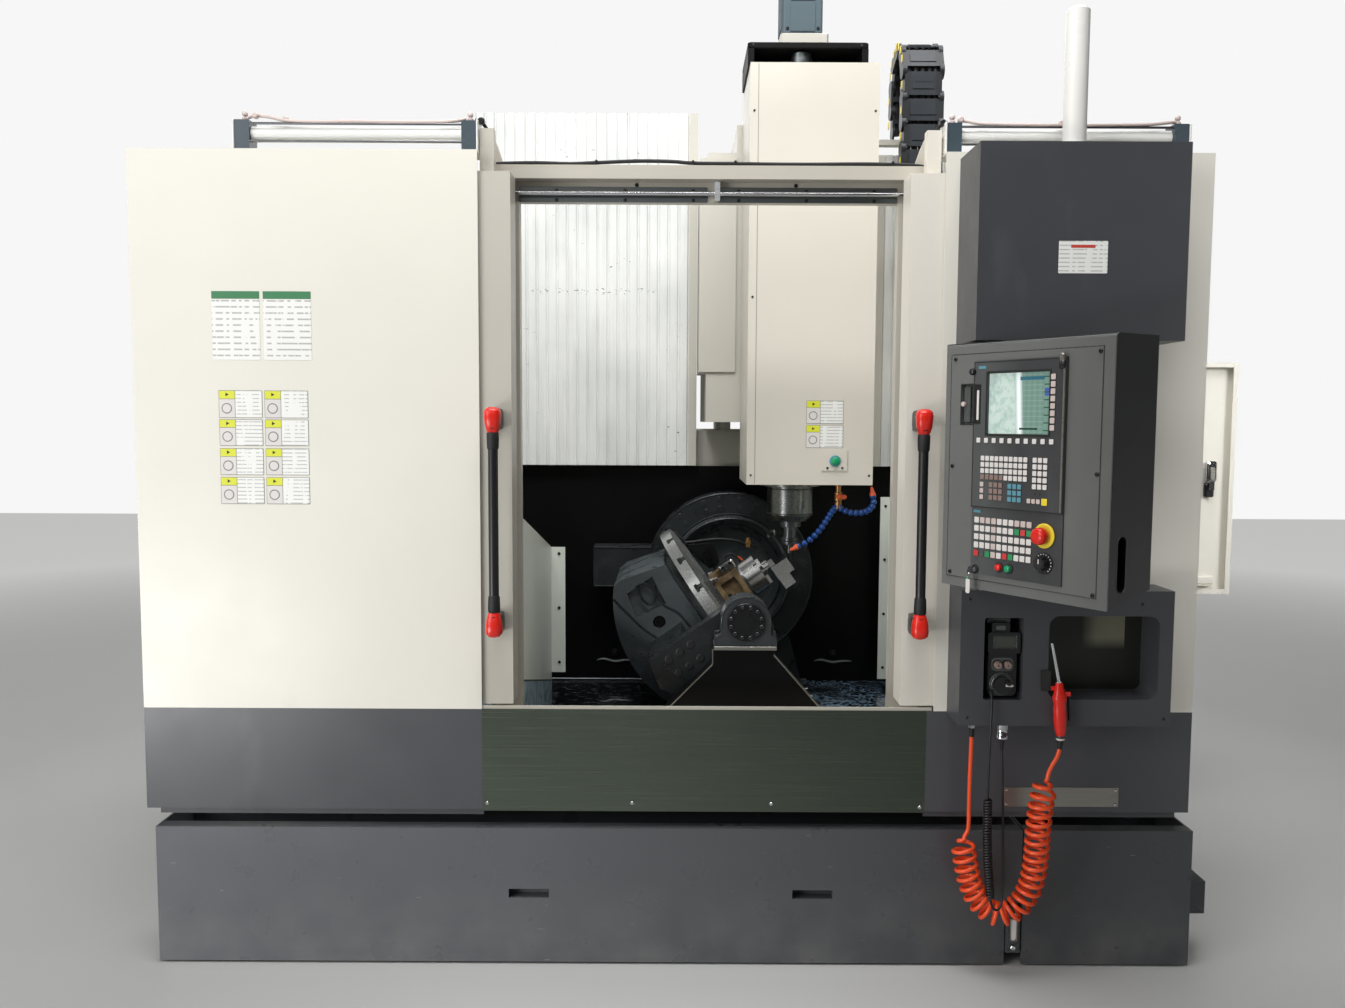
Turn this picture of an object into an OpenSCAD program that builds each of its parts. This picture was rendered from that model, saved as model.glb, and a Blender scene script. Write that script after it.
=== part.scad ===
// Five-axis machining centre with a moving column and a tilting cradle table.
// X runs to the right, Y away from the operator and Z up, in millimetres.

/* [Enclosure] */
// Left face of the enclosure
encl_left = -1525; // [-1600:5:-1500]
// Right face of the enclosure
encl_right = 1515; // [1500:5:1600]
// Depth of the side panels
encl_depth = 1500; // [1450:10:1700]
// Top of the front panels
panel_top = 2350; // [2345:5:2400]
// Joint between the front panels and the skirts
panel_bottom = 762; // [750:1:768]
// Lower edge of the skirts
skirt_bottom = 452; // [440:1:460]
// Sheet thickness
sheet = 4; // [3:0.5:6]
// Depth of the folded returns of a panel
fold_depth = 60; // [40:5:80]
// Left edge of the right front panel
right_panel_x = 765; // [762:1:770]

/* [Doors] */
// Left edge of the clear door opening
open_left = -455; // [-470:1:-450]
// Right edge of the clear door opening
open_right = 670; // [660:1:690]
// Lower edge of the door opening
open_bottom = 771; // [769:1:775]
// Width of a door's leading stile
stile_w = 90; // [80:1:92]
// Depth of a door's leading stile
stile_d = 100; // [80:1:104]
// Width of a door's leaf behind the stile
leaf_w = 560; // [540:5:570]
// Thickness of a door's leaf
leaf_t = 40; // [30:1:45]
// Top of the doors
door_top = 2294; // [2280:1:2296]
// Gap between the two closed doors
door_gap = 5; // [3:1:12]
// Radius of a door handle's tube
handle_r = 14; // [12:0.5:18]
// Distance of a handle's axis in front of its door
handle_reach = 74; // [60:1:90]
// Lower mount of a handle
handle_low = 1030; // [1000:5:1100]
// Upper mount of a handle
handle_high = 1590; // [1500:5:1650]
// Radius of the doors' guide rod
guide_r = 7; // [6:0.5:9]

/* [Base] */
// Height of the high bed that carries the column
bed_top = 1400; // [1390:1:1400]
// Front face of the high bed
bed_front = 1330; // [1328:1:1340]
// Rear face of the high bed
bed_rear = 2400; // [2350:10:2500]
// Half width of the high bed
bed_half = 1300; // [1250:10:1350]
// Underside of the bed
bed_bottom = 60; // [50:1:80]
// Height of the low bed under the work chamber
low_bed_top = 430; // [420:1:440]
// Chamber floor
floor_z = 530; // [520:1:535]
// Height of the tanks
tank_top = 410; // [400:1:415]
// Depth of the tanks
tank_depth = 240; // [200:5:245]
// Joint between the two tanks
tank_split = 1035; // [1025:1:1045]

/* [Linear axes] */
// Axis of the spindle in X at rest
spindle_x = 432; // [428:1:436]
// Axis of the spindle in Y at rest
spindle_y = 850; // [840:1:860]
// Front end of the spindle housing
nose_z = 1238; // [1230:1:1250]
// Radius of the spindle housing
nose_r = 82; // [75:1:90]
// Tip of the cutter
tool_tip = 1118; // [1116:1:1126]
// Width of the head cover
head_w = 435; // [420:1:440]
// Underside of the head cover
head_bottom = 1379; // [1374:1:1384]
// Top of the head cover
head_top = 2798; // [2760:1:2840]
// Width of a linear rail
rail_w = 40; // [30:1:45]
// Height of a linear rail
rail_h = 33; // [25:1:36]

/* [Tilting table] */
// Tilt axis in X
tilt_x = 232; // [228:1:236]
// Height of the tilt axis
tilt_z = 985; // [980:1:990]
// Tilt of the table at rest, from level
tilt = 54.8; // [50:0.1:58]
// Radius of the rotary table
table_r = 315; // [290:5:318]
// Thickness of the rotary table
table_t = 40; // [30:1:44]
// Distance from the tilt axis down to the table's face
table_drop = 70; // [60:1:75]
// Number of T-slots in the table
slot_count = 16; // [8:4:20]
// Radius of the cradle's belly about the tilt axis
belly_r = 430; // [410:1:440]
// Radius of the front trunnion
trunnion_r = 45; // [35:1:50]
// Radius of the rear journal
journal_r = 240; // [235:1:245]
// Outer radius of the tilt drive's ring
drive_r = 330; // [310:1:335]

/* [Operator station] */
// Width of the operator pendant
pendant_w = 525; // [500:5:535]
// Depth of the operator pendant
pendant_d = 160; // [150:1:170]
// Top of the pendant
pendant_top = 1807; // [1790:1:1810]
// Lower front edge of the pendant
pendant_bottom = 1150; // [1145:1:1170]
// Angle of the pendant at rest, out from its closed place
pendant_turn = 57.9; // [45:0.1:60]
// Height of the upper cabinet's underside
upper_bottom = 1815; // [1812:1:1820]
// Top of the upper cabinet
upper_top = 2330; // [2300:5:2345]
// Depth of the upper cabinet
upper_d = 200; // [180:5:220]
// Depth of the console
console_d = 130; // [126:1:132]
// Underside of the console
console_bottom = 757; // [750:1:760]
// Top of the console
console_top = 1136; // [1130:1:1140]

/* [Electrical cabinet] */
// Front edge of the cabinet's opening
elec_front = 400; // [380:5:420]
// Hinge line of the cabinet door
elec_hinge_y = 1010; // [1000:5:1030]
// Lower edge of the cabinet door
elec_bottom = 949; // [930:1:960]
// Upper edge of the cabinet door
elec_top = 1825; // [1800:1:1840]
// Thickness of the cabinet door
elec_door_t = 28; // [20:1:35]

/* [Hidden] */
$fn = 64;

// Clearances
run_fit = 0.05;
seat_gap = 0.3;
slide_gap = 8;

// Colours
cream = [0.86, 0.85, 0.80];
dark_grey = [0.29, 0.30, 0.32];
mid_grey = [0.38, 0.39, 0.42];
steel = [0.70, 0.71, 0.72];
black = [0.06, 0.06, 0.07];
casting = [0.20, 0.23, 0.23];
orange_red = [0.85, 0.16, 0.08];

// Doors and the frame behind them
door_y = 12;
frame_y = door_y + stile_d + slide_gap;
frame_d = 80;
left_edge = open_left - stile_w;
right_edge = open_right + stile_w;
door_low = open_bottom + 4;
door_travel = (open_right - open_left - door_gap) / 2;
header_top = 2337;
header_mid = 2298;
gusset_w = 55;
tank_gap = 2;
gauge_x = [990, 1031];
gauge_z = [44, 178];
sill_low = 700;
header_low = 2239;
guide_y = frame_y + 32;
guide_z = 2262;
guide_bracket_x = (open_left + open_right) / 2 + 24;
handle_y = door_y - handle_reach;
window_low = 1150;
window_high = 1850;
window_margin = 100;
cylinder_y = 60;
cylinder_z = panel_top + 53;
cylinder_r = 22;
piston_rod_r = 8;
rod_back = 655;

// Column side of the machine
rail_top = bed_top + rail_h;
x_rail_y = [1450, 2050];
saddle_x0 = spindle_x - 333;
saddle_x1 = spindle_x + 374;
post_w = 32;
saddle_front = bed_front + 20;
saddle_rear = bed_front + 820;
saddle_top = rail_top + 127;
y_rail_x = [spindle_x - 232, spindle_x + 208];
column_x0 = spindle_x - 302;
column_x1 = spindle_x + 288;
column_front = spindle_y + 210;
column_rear = spindle_y + 1050;
column_low = saddle_top + rail_h + seat_gap;
column_top = 2700;
shoulder_z = 2598;
bellows_y = bed_front - 50;
bellows_d = 40;
bellows_low = 1418;
left_bellows_top = 2801;
right_bellows_top = 2645;
bellows_end = 1300;
pleat = 40;
head_x0 = spindle_x - 172;
head_x1 = head_x0 + head_w;
head_front = spindle_y - 200;
head_rear = column_front - 15;
z_rail_x = [head_x0 + 58, head_x1 - 98];
clamp_at = [564, 1462];
clamp_r = 14;
motor_z = head_top + 132;
motor_top = 3150;
holder_r = 30;
cutter_r = 8;
rotor_r = 45;

// Energy chain
chain_x = [829, 980];
chain_t = 56;
chain_plate = 8;
chain_front_y = spindle_y + 110;
chain_bend = 105;
chain_low = 2500;
chain_back_low = column_top;
chain_turn_z = 2866;
link_pitch = 90;

// Cradle and table
table_y = spindle_y;
table_face = -table_drop;
table_under = table_face - table_t;
belly_top = table_under - 31;
arm_y0 = 300;
arm_y1 = 380;
arm_boss_r = 60;
belly_y0 = 600;
belly_y1 = 1080;
drive_y0 = table_y + table_r + 25;
drive_y1 = bed_front - 12;
pillow_y0 = 190;
pillow_y1 = arm_y0 - 10;
pillow_r = 76;
pillow_foot = 911;
pillow_half = 94;

// Operator station
upper_x = [804, 1357];
console_x = [803, 1391];
recess_x = [869, 978];
recess_z = [830, 1060];
pocket_x = [1048, 1353];
pocket_z = [832, 1066];
pocket_d = 115;
pivot_x = 870;
pivot_y = -100;
pivot_u = 42;
pivot_v = 118;
post_r = 20;
plate_u = [18, 494];
plate_z = [1180, 1780];
plate_rise = 1.5;
display_u = [108, 397];
display_z = [1375, 1757];
display_rise = 11;
panel_z = [1198, 1373];
panel_rise = 6;
screen_u = [155, 350];
screen_z = [1568, 1725];
slot_u = [58, 99];
slot_z = [1594, 1697];
estop_at = [346, 1319];
override_at = [345, 1250];
start_at = [237, 1224];
stop_at = [206, 1224];
key_at = [124, 1210];
grip_v = 47;
grip_r = 16;
grip_z = [1213, 1314];
dial_at = [923, 871];
dial_r = 29;
tower_x = 1083;
tower_y = -upper_d / 2;
tower_r = 31;
tower_top = 2703;
gun_low = [1081, -150, 728];
gun_lean = 3.1;
gun_length = 154;
nozzle_lean = 8.4;
gun_y = gun_low[1];
trigger_pin = [25, 128];

// Cord routes, with the radius at each point last
hose_r = 6;
hose_curl_r = 36;
hose_route = [
  [849, -100, 757, hose_r], [849, -100, 700, hose_r], [849, -94, 600, hose_r], [850, -90, 520, hose_r],
  [851, -87, 460, hose_r], [848, -86, 438, hose_r],
  [840, -85, 422, hose_curl_r], [838, -85, 400, hose_curl_r], [845, -86, 350, hose_curl_r],
  [859, -88, 290, hose_curl_r], [886, -90, 234, hose_curl_r], [934, -94, 200, hose_curl_r],
  [986, -100, 220, hose_curl_r], [1017, -108, 270, hose_curl_r], [1030, -116, 328, hose_curl_r],
  [1033, -124, 390, hose_curl_r], [1032, -132, 440, hose_curl_r], [1033, -140, 500, hose_curl_r],
  [1035, -146, 548, hose_curl_r], [1043, -149, 590, hose_curl_r], [1048, -150, 612, hose_curl_r],
  [1052, -150, 632, hose_r], [1061, -150, 652, hose_r], [1072, -150, 672, hose_r],
  [1079, -150, 696, hose_r], [1081, -150, 728, hose_r]];
cable_r = 3.5;
cable_curl_r = 13;
cable_end = [935, -100, 711];
cable_route = [
  [892, -116, 850, cable_r], [892, -126, 850, cable_r], [891, -138, 838, cable_r],
  [890, -145, 820, cable_r], [889, -148, 790, cable_r], [887, -150, 740, cable_r],
  [885, -151, 660, cable_r], [884, -152, 580, cable_r], [884, -152, 560, cable_curl_r],
  [885, -152, 460, cable_curl_r], [890, -152, 360, cable_curl_r], [899, -152, 268, cable_curl_r],
  [902, -152, 254, cable_r], [909, -151, 240, cable_r], [920, -149, 236, cable_r],
  [930, -146, 246, cable_r], [935, -142, 272, cable_r], [938, -132, 350, cable_r],
  [939, -118, 460, cable_r], [938, -107, 580, cable_r], [935, -100, 680, cable_r],
  [cable_end[0], cable_end[1], cable_end[2], cable_r]];

// Origin: the middle of the floor area that the machine covers
knuckle_r = 6;
hinge_pin_r = 3;
elec_hinge_x = encl_right + knuckle_r + 2;
elec_door_x = elec_hinge_x + knuckle_r + 2;
elec_width = elec_hinge_y - elec_front - 12;
reach_right = elec_door_x + elec_width;
knuckle_z = [elec_bottom + 80, elec_top - 140];
knuckle_h = 30;
turned = -pendant_turn;
reach_front = pivot_y + (pendant_w - pivot_u) * sin(turned) - pivot_v * cos(turned);
mid_x = (encl_left + reach_right) / 2;
mid_y = (reach_front + bed_rear) / 2;

module placed() translate([-mid_x, -mid_y, 0]) children();
module span(x, y, z)
  translate([x[0], y[0], z[0]]) cube([x[1] - x[0], y[1] - y[0], z[1] - z[0]]);
module rod_x(y, z, x0, x1, r) translate([x0, y, z]) rotate([0, 90, 0]) cylinder(r = r, h = x1 - x0);
module rod_y(x, z, y0, y1, r) translate([x, y0, z]) rotate([-90, 0, 0]) cylinder(r = r, h = y1 - y0);
module rod_z(x, y, z0, z1, r) translate([x, y, z0]) cylinder(r = r, h = z1 - z0);
// Outline in X and Z, carried along Y
module prism_y(y0, y1, points)
  translate([0, y1, 0]) rotate([90, 0, 0]) linear_extrude(y1 - y0) polygon(points);
// Outline in Y and Z, carried along X
module prism_x(x0, x1, points)
  translate([x0, 0, 0]) rotate([90, 0, 90]) linear_extrude(x1 - x0) polygon(points);

// Folded sheet pan that faces the operator, open behind
module pan(x, z, y, side_l, side_r, ret_top, ret_low) {
  span(x, [y, y + sheet], z);
  if (side_l > 0) span([x[0], x[0] + sheet], [y, y + side_l], z);
  if (side_r > 0) span([x[1] - sheet, x[1]], [y, y + side_r], z);
  inner = [x[0] + (side_l > 0 ? sheet : 0), x[1] - (side_r > 0 ? sheet : 0)];
  if (ret_top > 0) span(inner, [y, y + ret_top], [z[1] - sheet, z[1]]);
  if (ret_low > 0) span(inner, [y, y + ret_low], [z[0], z[0] + sheet]);
}

module base_casting() color(casting) {
  wall = 60;
  bays = 5;
  bay = (2 * bed_half - wall) / bays;
  difference() {
    union() {
      span([-bed_half, bed_half], [bed_front, bed_rear], [bed_bottom, bed_top]);
      span([-820, 1000], [tank_depth + seat_gap, bed_front], [bed_bottom, low_bed_top]);
    }
    for (i = [0 : bays - 1])
      span([-bed_half + wall + i * bay, -bed_half + (i + 1) * bay],
        [bed_front + wall, bed_rear + 1], [bed_bottom + 120, bed_top - 140]);
  }
  for (y = x_rail_y) span([-bed_half + 10, bed_half - 10], [y, y + rail_w], [bed_top, rail_top]);
}

module levelling_feet() color(steel) {
  foot_r = 55;
  for (x = [-bed_half + 120, 0, bed_half - 120], y = [bed_front + 110, bed_rear - 110]) {
    rod_z(x, y, 0, 30, foot_r);
    rod_z(x, y, 30, bed_bottom, 24);
  }
  for (x = [-740, 920]) {
    rod_z(x, tank_depth + 140, 0, 30, foot_r);
    rod_z(x, tank_depth + 140, 30, bed_bottom, 24);
  }
}

module caster(x, y) {
  rod_x(y, 16, x - 9, x + 9, 16);
  span([x - 14, x + 14], [y - 6, y + 6], [22, 44]);
}

module grip_slot(x) span([x, x + 118], [-6, 32], [200, 227]);

module chip_tank() color(mid_grey) {
  left = encl_left + 25;
  difference() {
    span([left, tank_split - tank_gap], [-5, tank_depth], [44, tank_top]);
    span([left + 5, tank_split - tank_gap - 5], [40, tank_depth - 5], [49, tank_top + 1]);
    grip_slot(-470);
    grip_slot(362);
    span([gauge_x[0] - 3, tank_split], [-6, 14], [43, gauge_z[1] + 18]);
  }
  span([left, gauge_x[0] - 3], [-5, -1], [6, 44]);
  // Level gauge in its notch
  span(gauge_x, [-12, 14 + seat_gap], gauge_z);
  // Overflow into the coolant tank
  span([tank_split - tank_gap, tank_split + tank_gap - seat_gap], [80, 160], [300, 360]);
  for (x = [-1300, -900, 0, 900], y = [70, 190]) caster(x, y);
}

module coolant_tank() color(mid_grey) {
  difference() {
    span([tank_split + tank_gap, encl_right + 15], [-5, tank_depth], [44, tank_top]);
    span([tank_split + tank_gap + 5, encl_right + 10], [40, tank_depth - 5], [49, tank_top + 1]);
  }
  span([tank_split + tank_gap, encl_right + 15], [-5, -1], [6, 44]);
  span([encl_right + 15, encl_right + 85], [50, 210], [137, 236]);
  for (x = [tank_split + 60, encl_right - 60], y = [70, 190]) caster(x, y);
}

module skirts() color(dark_grey) {
  pan([encl_left, left_edge], [skirt_bottom + 12, panel_bottom], 0, fold_depth, 0, 0, fold_depth);
  pan([right_panel_x - 20, encl_right], [skirt_bottom + 12, panel_bottom], 0, 0, fold_depth, 0, fold_depth);
  for (x = [[encl_left + 30, left_edge], [right_panel_x - 20, encl_right - 30]])
    span(x, [20, 20 + sheet], [skirt_bottom - 10, skirt_bottom + 12]);
}

module kick_panel() color(steel)
  pan([left_edge, right_panel_x - 20], [skirt_bottom + 8, panel_bottom], 0, 0, 0, 0, fold_depth);

module left_front_panel() color(cream)
  pan([encl_left, left_edge], [panel_bottom, panel_top], 0, fold_depth, 0, 110, 0);

module right_front_panel() color(cream)
  pan([right_panel_x, encl_right], [panel_bottom, panel_top], 0, 0, fold_depth, 110, 0);

module side_panels() color(cream) {
  span([encl_left, encl_left + sheet], [fold_depth, encl_depth], [skirt_bottom, panel_top]);
  difference() {
    span([encl_right - sheet, encl_right], [fold_depth, encl_depth], [skirt_bottom, panel_top]);
    span([encl_right - sheet - 1, encl_right + 1], [elec_front + 14, elec_hinge_y - 24],
      [elec_bottom + 8, elec_top - 8]);
  }
  // Fixed hinge knuckles with their pins
  for (z = knuckle_z) {
    span([encl_right, elec_hinge_x], [elec_hinge_y - knuckle_r, elec_hinge_y + knuckle_r],
      [z - knuckle_h, z]);
    rod_z(elec_hinge_x, elec_hinge_y, z - knuckle_h, z, knuckle_r);
    rod_z(elec_hinge_x, elec_hinge_y, z, z + knuckle_h, hinge_pin_r);
  }
}

// Gusset over each end of the header
module gusset(x, dir)
  translate([x, frame_y + frame_d / 2 + 6, header_top]) scale([dir, 1, 1]) rotate([90, 0, 0])
    linear_extrude(12) polygon([[0, 0], [gusset_w, 0], [gusset_w, 104], [41, 102], [22, 60], [10, 25]]);

module header_frame() color(cream) {
  inner_l = open_left + 5;
  inner_r = open_right - 4;
  span([left_edge, right_edge], [frame_y, frame_y + frame_d], [header_mid, header_top]);
  span([left_edge, right_edge], [frame_y + 50, frame_y + frame_d], [header_low, header_mid]);
  span([left_edge, inner_l], [frame_y + 40, frame_y + frame_d], [floor_z, header_low]);
  span([inner_r, right_edge], [frame_y + 40, frame_y + frame_d], [floor_z, header_low]);
  // Front lip, and the gutter behind it
  span([left_edge, right_edge], [sheet, sheet + 6], [sill_low, open_bottom]);
  span([left_edge, right_edge], [sheet, frame_y + 41], [sill_low, sill_low + 12]);
  span([inner_l - 1, inner_r + 1], [frame_y + 40, frame_y + frame_d], [sill_low, sill_low + 12]);
  gusset(left_edge + gusset_w, -1);
  gusset(right_edge - gusset_w, 1);
}

module door_guide_rods() color(steel) {
  ends = [left_edge, right_edge];
  rod_x(guide_y, guide_z, ends[0], ends[1], guide_r);
  for (x = [ends[0], guide_bracket_x - 8, ends[1] - 10])
    difference() {
      span([x, x + (x == guide_bracket_x - 8 ? 16 : 10)], [guide_y - 14, frame_y + 50],
        [guide_z - 20, header_mid]);
      rod_x(guide_y, guide_z, x - 1, x + 20, guide_r);
    }
}

module inner_walls() color(cream) {
  wall_y = frame_y + frame_d;
  left_x = open_left + 5;
  right_x = 869;
  prism_x(left_x - sheet, left_x,
    [[wall_y, floor_z], [970, floor_z], [970, 1122], [wall_y, 1300]]);
  span([left_x, left_x + 52], [970 - sheet, 970], [645, 1122]);
  prism_x(right_x, right_x + sheet,
    [[wall_y, floor_z], [1200, floor_z], [1200, 1300], [wall_y, 1355]]);
  span([right_x - 40, right_x], [1200 - sheet, 1200], [569, 1300]);
  span([open_right - 4, right_x], [wall_y, wall_y + sheet], [floor_z, 1355]);
}

module back_wall() color(black)
  span([-bed_half, bed_half], [bed_front - sheet, bed_front], [floor_z, bellows_low - 3]);

module chamber_floor() color(black) {
  span([-bed_half + 100, bed_half - 100], [frame_y + frame_d + 4, bed_front - sheet],
    [floor_z - 6, floor_z]);
  for (x = [-700, 700]) span([x, x + 60], [tank_depth + 80, bed_front - 20], [low_bed_top, floor_z - 6]);
}

module upper_cabinet() color(dark_grey)
  span(upper_x, [-upper_d, 0], [upper_bottom, upper_top]);

module signal_tower() color("white") {
  rod_z(tower_x, tower_y, upper_top, upper_top + 14, tower_r + 6);
  rod_z(tower_x, tower_y, upper_top + 14, tower_top - 8, tower_r);
  translate([tower_x, tower_y, tower_top - 8]) cylinder(r1 = tower_r, r2 = tower_r - 8, h = 8);
}

// Block with rounded corners in X and Z, cut out along Y
module rounded_cut(x, y, z, r) {
  for (i = [0, 1], j = [0, 1])
    rod_y(x[i] + (i == 0 ? r : -r), z[j] + (j == 0 ? r : -r), y[0], y[1], r);
  span([x[0] + r, x[1] - r], y, z);
  span(x, y, [z[0] + r, z[1] - r]);
}

module console_box() color(dark_grey) {
  difference() {
    span(console_x, [-console_d, 0], [console_bottom, console_top]);
    rounded_cut(recess_x, [-console_d - 1, -15], recess_z, 8);
    rounded_cut(pocket_x, [-console_d - 1, pocket_d - console_d], pocket_z, 30);
  }
  // Sockets of the air hose and of the handwheel cable
  rod_z(cable_end[0], cable_end[1], cable_end[2], console_bottom, 12);
}

module pendant_post() color(steel)
  rod_z(pivot_x, pivot_y, console_top, upper_bottom, post_r);

module electrical_cabinet() color(cream) {
  x0 = encl_right - 330;
  x1 = encl_right - sheet;
  y = [elec_front - 6, elec_hinge_y - 2];
  z = [elec_bottom + 2, elec_top - 2];
  difference() {
    span([x0, x1], y, z);
    span([x0 + 3, x1 + 1], [y[0] + 3, y[1] - 3], [z[0] + 3, z[1] - 3]);
  }
  // Mounting plate with drives, contactors and cable ducts
  span([x0 + 3, x0 + 12], [y[0] + 20, y[1] - 20], [z[0] + 20, z[1] - 20]);
  for (i = [0 : 4])
    span([x0 + 12, x0 + 200], [y[0] + 50 + i * 62, y[0] + 102 + i * 62], [z[1] - 400, z[1] - 90]);
  for (i = [0 : 5])
    span([x0 + 12, x0 + 92], [y[0] + 50 + i * 52, y[0] + 95 + i * 52], [z[0] + 300, z[0] + 385]);
  for (h = [z[0] + 60, z[0] + 240, z[0] + 425])
    span([x0 + 12, x0 + 72], [y[0] + 40, y[1] - 40], [h, h + 40]);
  span([x0 + 12, x0 + 130], [y[1] - 190, y[1] - 60], [z[0] + 110, z[0] + 225]);
}

// Pneumatic cylinder above a door, with its rod bore
module door_cylinder(x0, x1) {
  difference() {
    union() {
      rod_x(cylinder_y, cylinder_z, x0, x1, cylinder_r);
      for (x = [x0, x1 - 42])
        span([x, x + 42], [cylinder_y - 30, cylinder_y + 30], [panel_top, cylinder_z + 34]);
    }
    rod_x(cylinder_y, cylinder_z, x0 + 12, x1 - 12, cylinder_r - 4);
    rod_x(cylinder_y, cylinder_z, x0 - 1, x1 + 1, piston_rod_r + run_fit);
  }
}

module door_cylinders() color(steel) {
  door_cylinder(left_edge - 688, left_edge - 7);
  door_cylinder(right_edge + 12, right_edge + 693);
}

// Door with its leading edge at x = 0 and its leaf towards -x, open windows included
module door_leaf() {
  leaf = [-stile_w - leaf_w, -stile_w];
  difference() {
    union() {
      span([-stile_w, 0], [door_y, door_y + stile_d], [door_low, door_top]);
      span(leaf, [door_y, door_y + leaf_t], [door_low, door_top]);
    }
    span([-stile_w + sheet, -sheet], [door_y + sheet, door_y + stile_d + 1],
      [door_low + 30, door_top - 30]);
    span([leaf[0] + window_margin, leaf[1] - window_margin], [door_y - 1, door_y + leaf_t + 1],
      [window_low, window_high]);
    rod_x(guide_y, guide_z, -80, 0, guide_r + run_fit);
  }
  // Hanger on the guide rod
  difference() {
    span([-80, -32], [door_y + stile_d, guide_y + 14], [guide_z - 16, guide_z + 16]);
    rod_x(guide_y, guide_z, -81, -31, guide_r + run_fit);
  }
  // Bracket and piston rod of the door cylinder
  span([-stile_w, -stile_w + 40], [cylinder_y - 18, cylinder_y + 18], [door_top, cylinder_z + 16]);
  rod_x(cylinder_y, cylinder_z, -stile_w - rod_back, -stile_w, piston_rod_r);
}

module door_pane()
  span([-stile_w - leaf_w + window_margin, -stile_w - window_margin],
    [door_y + 14, door_y + 22], [window_low, window_high]);

// Tube handle with two end mounts and coloured caps
module bar_handle(x) {
  rod_z(x, handle_y, handle_low, handle_high, handle_r);
  for (s = [[handle_low, -1], [handle_high, 1]]) {
    z = s[0];
    span([x - 17, x + 17], [handle_y, door_y], [z - 16, z + 16]);
    translate([x, 0, z]) scale([1, 1, s[1]])
      prism_x(-18, 18, [[handle_y - 20, 16], [handle_y - 14, 30], [handle_y + 8, 38],
        [door_y - 18, 34], [door_y, 20], [door_y, 16]]);
    rod_z(x, handle_y, z - 16, z + 16, 20);
  }
}

module left_door() color(cream) translate([open_left, 0, 0]) door_leaf();
module left_door_glass() color([0.75, 0.85, 0.85, 0.5]) translate([open_left, 0, 0]) door_pane();
module left_handle() color(black) bar_handle(open_left - 42);
module right_door() color(cream) translate([open_right, 0, 0]) mirror([1, 0, 0]) door_leaf();
module right_door_glass() color([0.75, 0.85, 0.85, 0.5])
  translate([open_right, 0, 0]) mirror([1, 0, 0]) door_pane();
module right_handle() color(black) bar_handle(open_right + 35);

module pedestal() color(black)
  prism_y(frame_y + frame_d + 4, pillow_y1, [[tilt_x - 101, 898], [tilt_x - 101, 850],
    [tilt_x - 416, floor_z], [tilt_x + 392, floor_z], [tilt_x + 220, 728], [tilt_x + 87, 880],
    [tilt_x + 87, 898]]);

module pillow_block() color(casting) {
  difference() {
    union() {
      rod_y(tilt_x, tilt_z, pillow_y0, pillow_y1, pillow_r);
      prism_y(pillow_y0, pillow_y1, [[tilt_x - pillow_r, tilt_z], [tilt_x - pillow_r, 945],
        [tilt_x - pillow_half, 937], [tilt_x - pillow_half, pillow_foot],
        [tilt_x + pillow_half, pillow_foot], [tilt_x + pillow_half, 937],
        [tilt_x + pillow_r, 945], [tilt_x + pillow_r, tilt_z]]);
    }
    rod_y(tilt_x, tilt_z, pillow_y0 - 1, pillow_y1 + 1, trunnion_r + run_fit);
  }
  span([tilt_x - pillow_half - 4, tilt_x + pillow_half], [pillow_y0 - 6, pillow_y1], [898, pillow_foot]);
}

module bearing_cover() color(dark_grey) {
  rod_y(tilt_x, tilt_z, pillow_y0 - 8, pillow_y0, 58);
  rod_y(tilt_x, tilt_z, pillow_y0 - 11, pillow_y0 - 8, 24);
  for (a = [15 : 30 : 345])
    rod_y(tilt_x + 48 * cos(a), tilt_z + 48 * sin(a), pillow_y0 - 13, pillow_y0 - 8, 5);
}

// Ring housing of the tilt drive, its motor box and its foot
module tilt_drive() color(casting) {
  difference() {
    union() {
      rod_y(tilt_x, tilt_z, drive_y0, drive_y1, drive_r);
      span([tilt_x - 540, tilt_x - 250], [drive_y0 + 5, drive_y1], [tilt_z - 47, tilt_z + 112]);
      prism_y(drive_y0 + 20, drive_y1, [[tilt_x - 300, floor_z], [tilt_x + 300, floor_z],
        [tilt_x + 230, tilt_z - 200], [tilt_x - 230, tilt_z - 200]]);
    }
    rod_y(tilt_x, tilt_z, drive_y0 - 1, drive_y1 + 1, journal_r + run_fit);
    for (a = [70, 82, 98, 110, 130, 142, 35, 20, 160, 200, 340], r = [journal_r + 30, drive_r - 24])
      rod_y(tilt_x + r * cos(a), tilt_z + r * sin(a), drive_y0 - 1, drive_y0 + 20, 7);
  }
  span([tilt_x + 200, tilt_x + 230], [drive_y0 - 14, drive_y0], [tilt_z + 190, tilt_z + 222]);
}

// Pleated lamella cover between x0 and x1
module bellows(x0, x1, z1) {
  count = round((x1 - x0) / pleat);
  step = (x1 - x0) / count;
  front = [for (i = [0 : count - 1], p = [[0, 8], [0.12, 0], [0.8, 0], [0.92, 8]])
    [x0 + (i + p[0]) * step, bellows_y + p[1]]];
  translate([0, 0, bellows_low]) linear_extrude(z1 - bellows_low)
    polygon(concat(front, [[x1, bellows_y + 8], [x1, bellows_y + 14], [x0, bellows_y + 14]]));
}

module left_bellows() color(cream) bellows(-778, saddle_x0 - post_w, left_bellows_top);
module right_bellows() color(cream) bellows(saddle_x1 + post_w, bellows_end, right_bellows_top);

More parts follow.
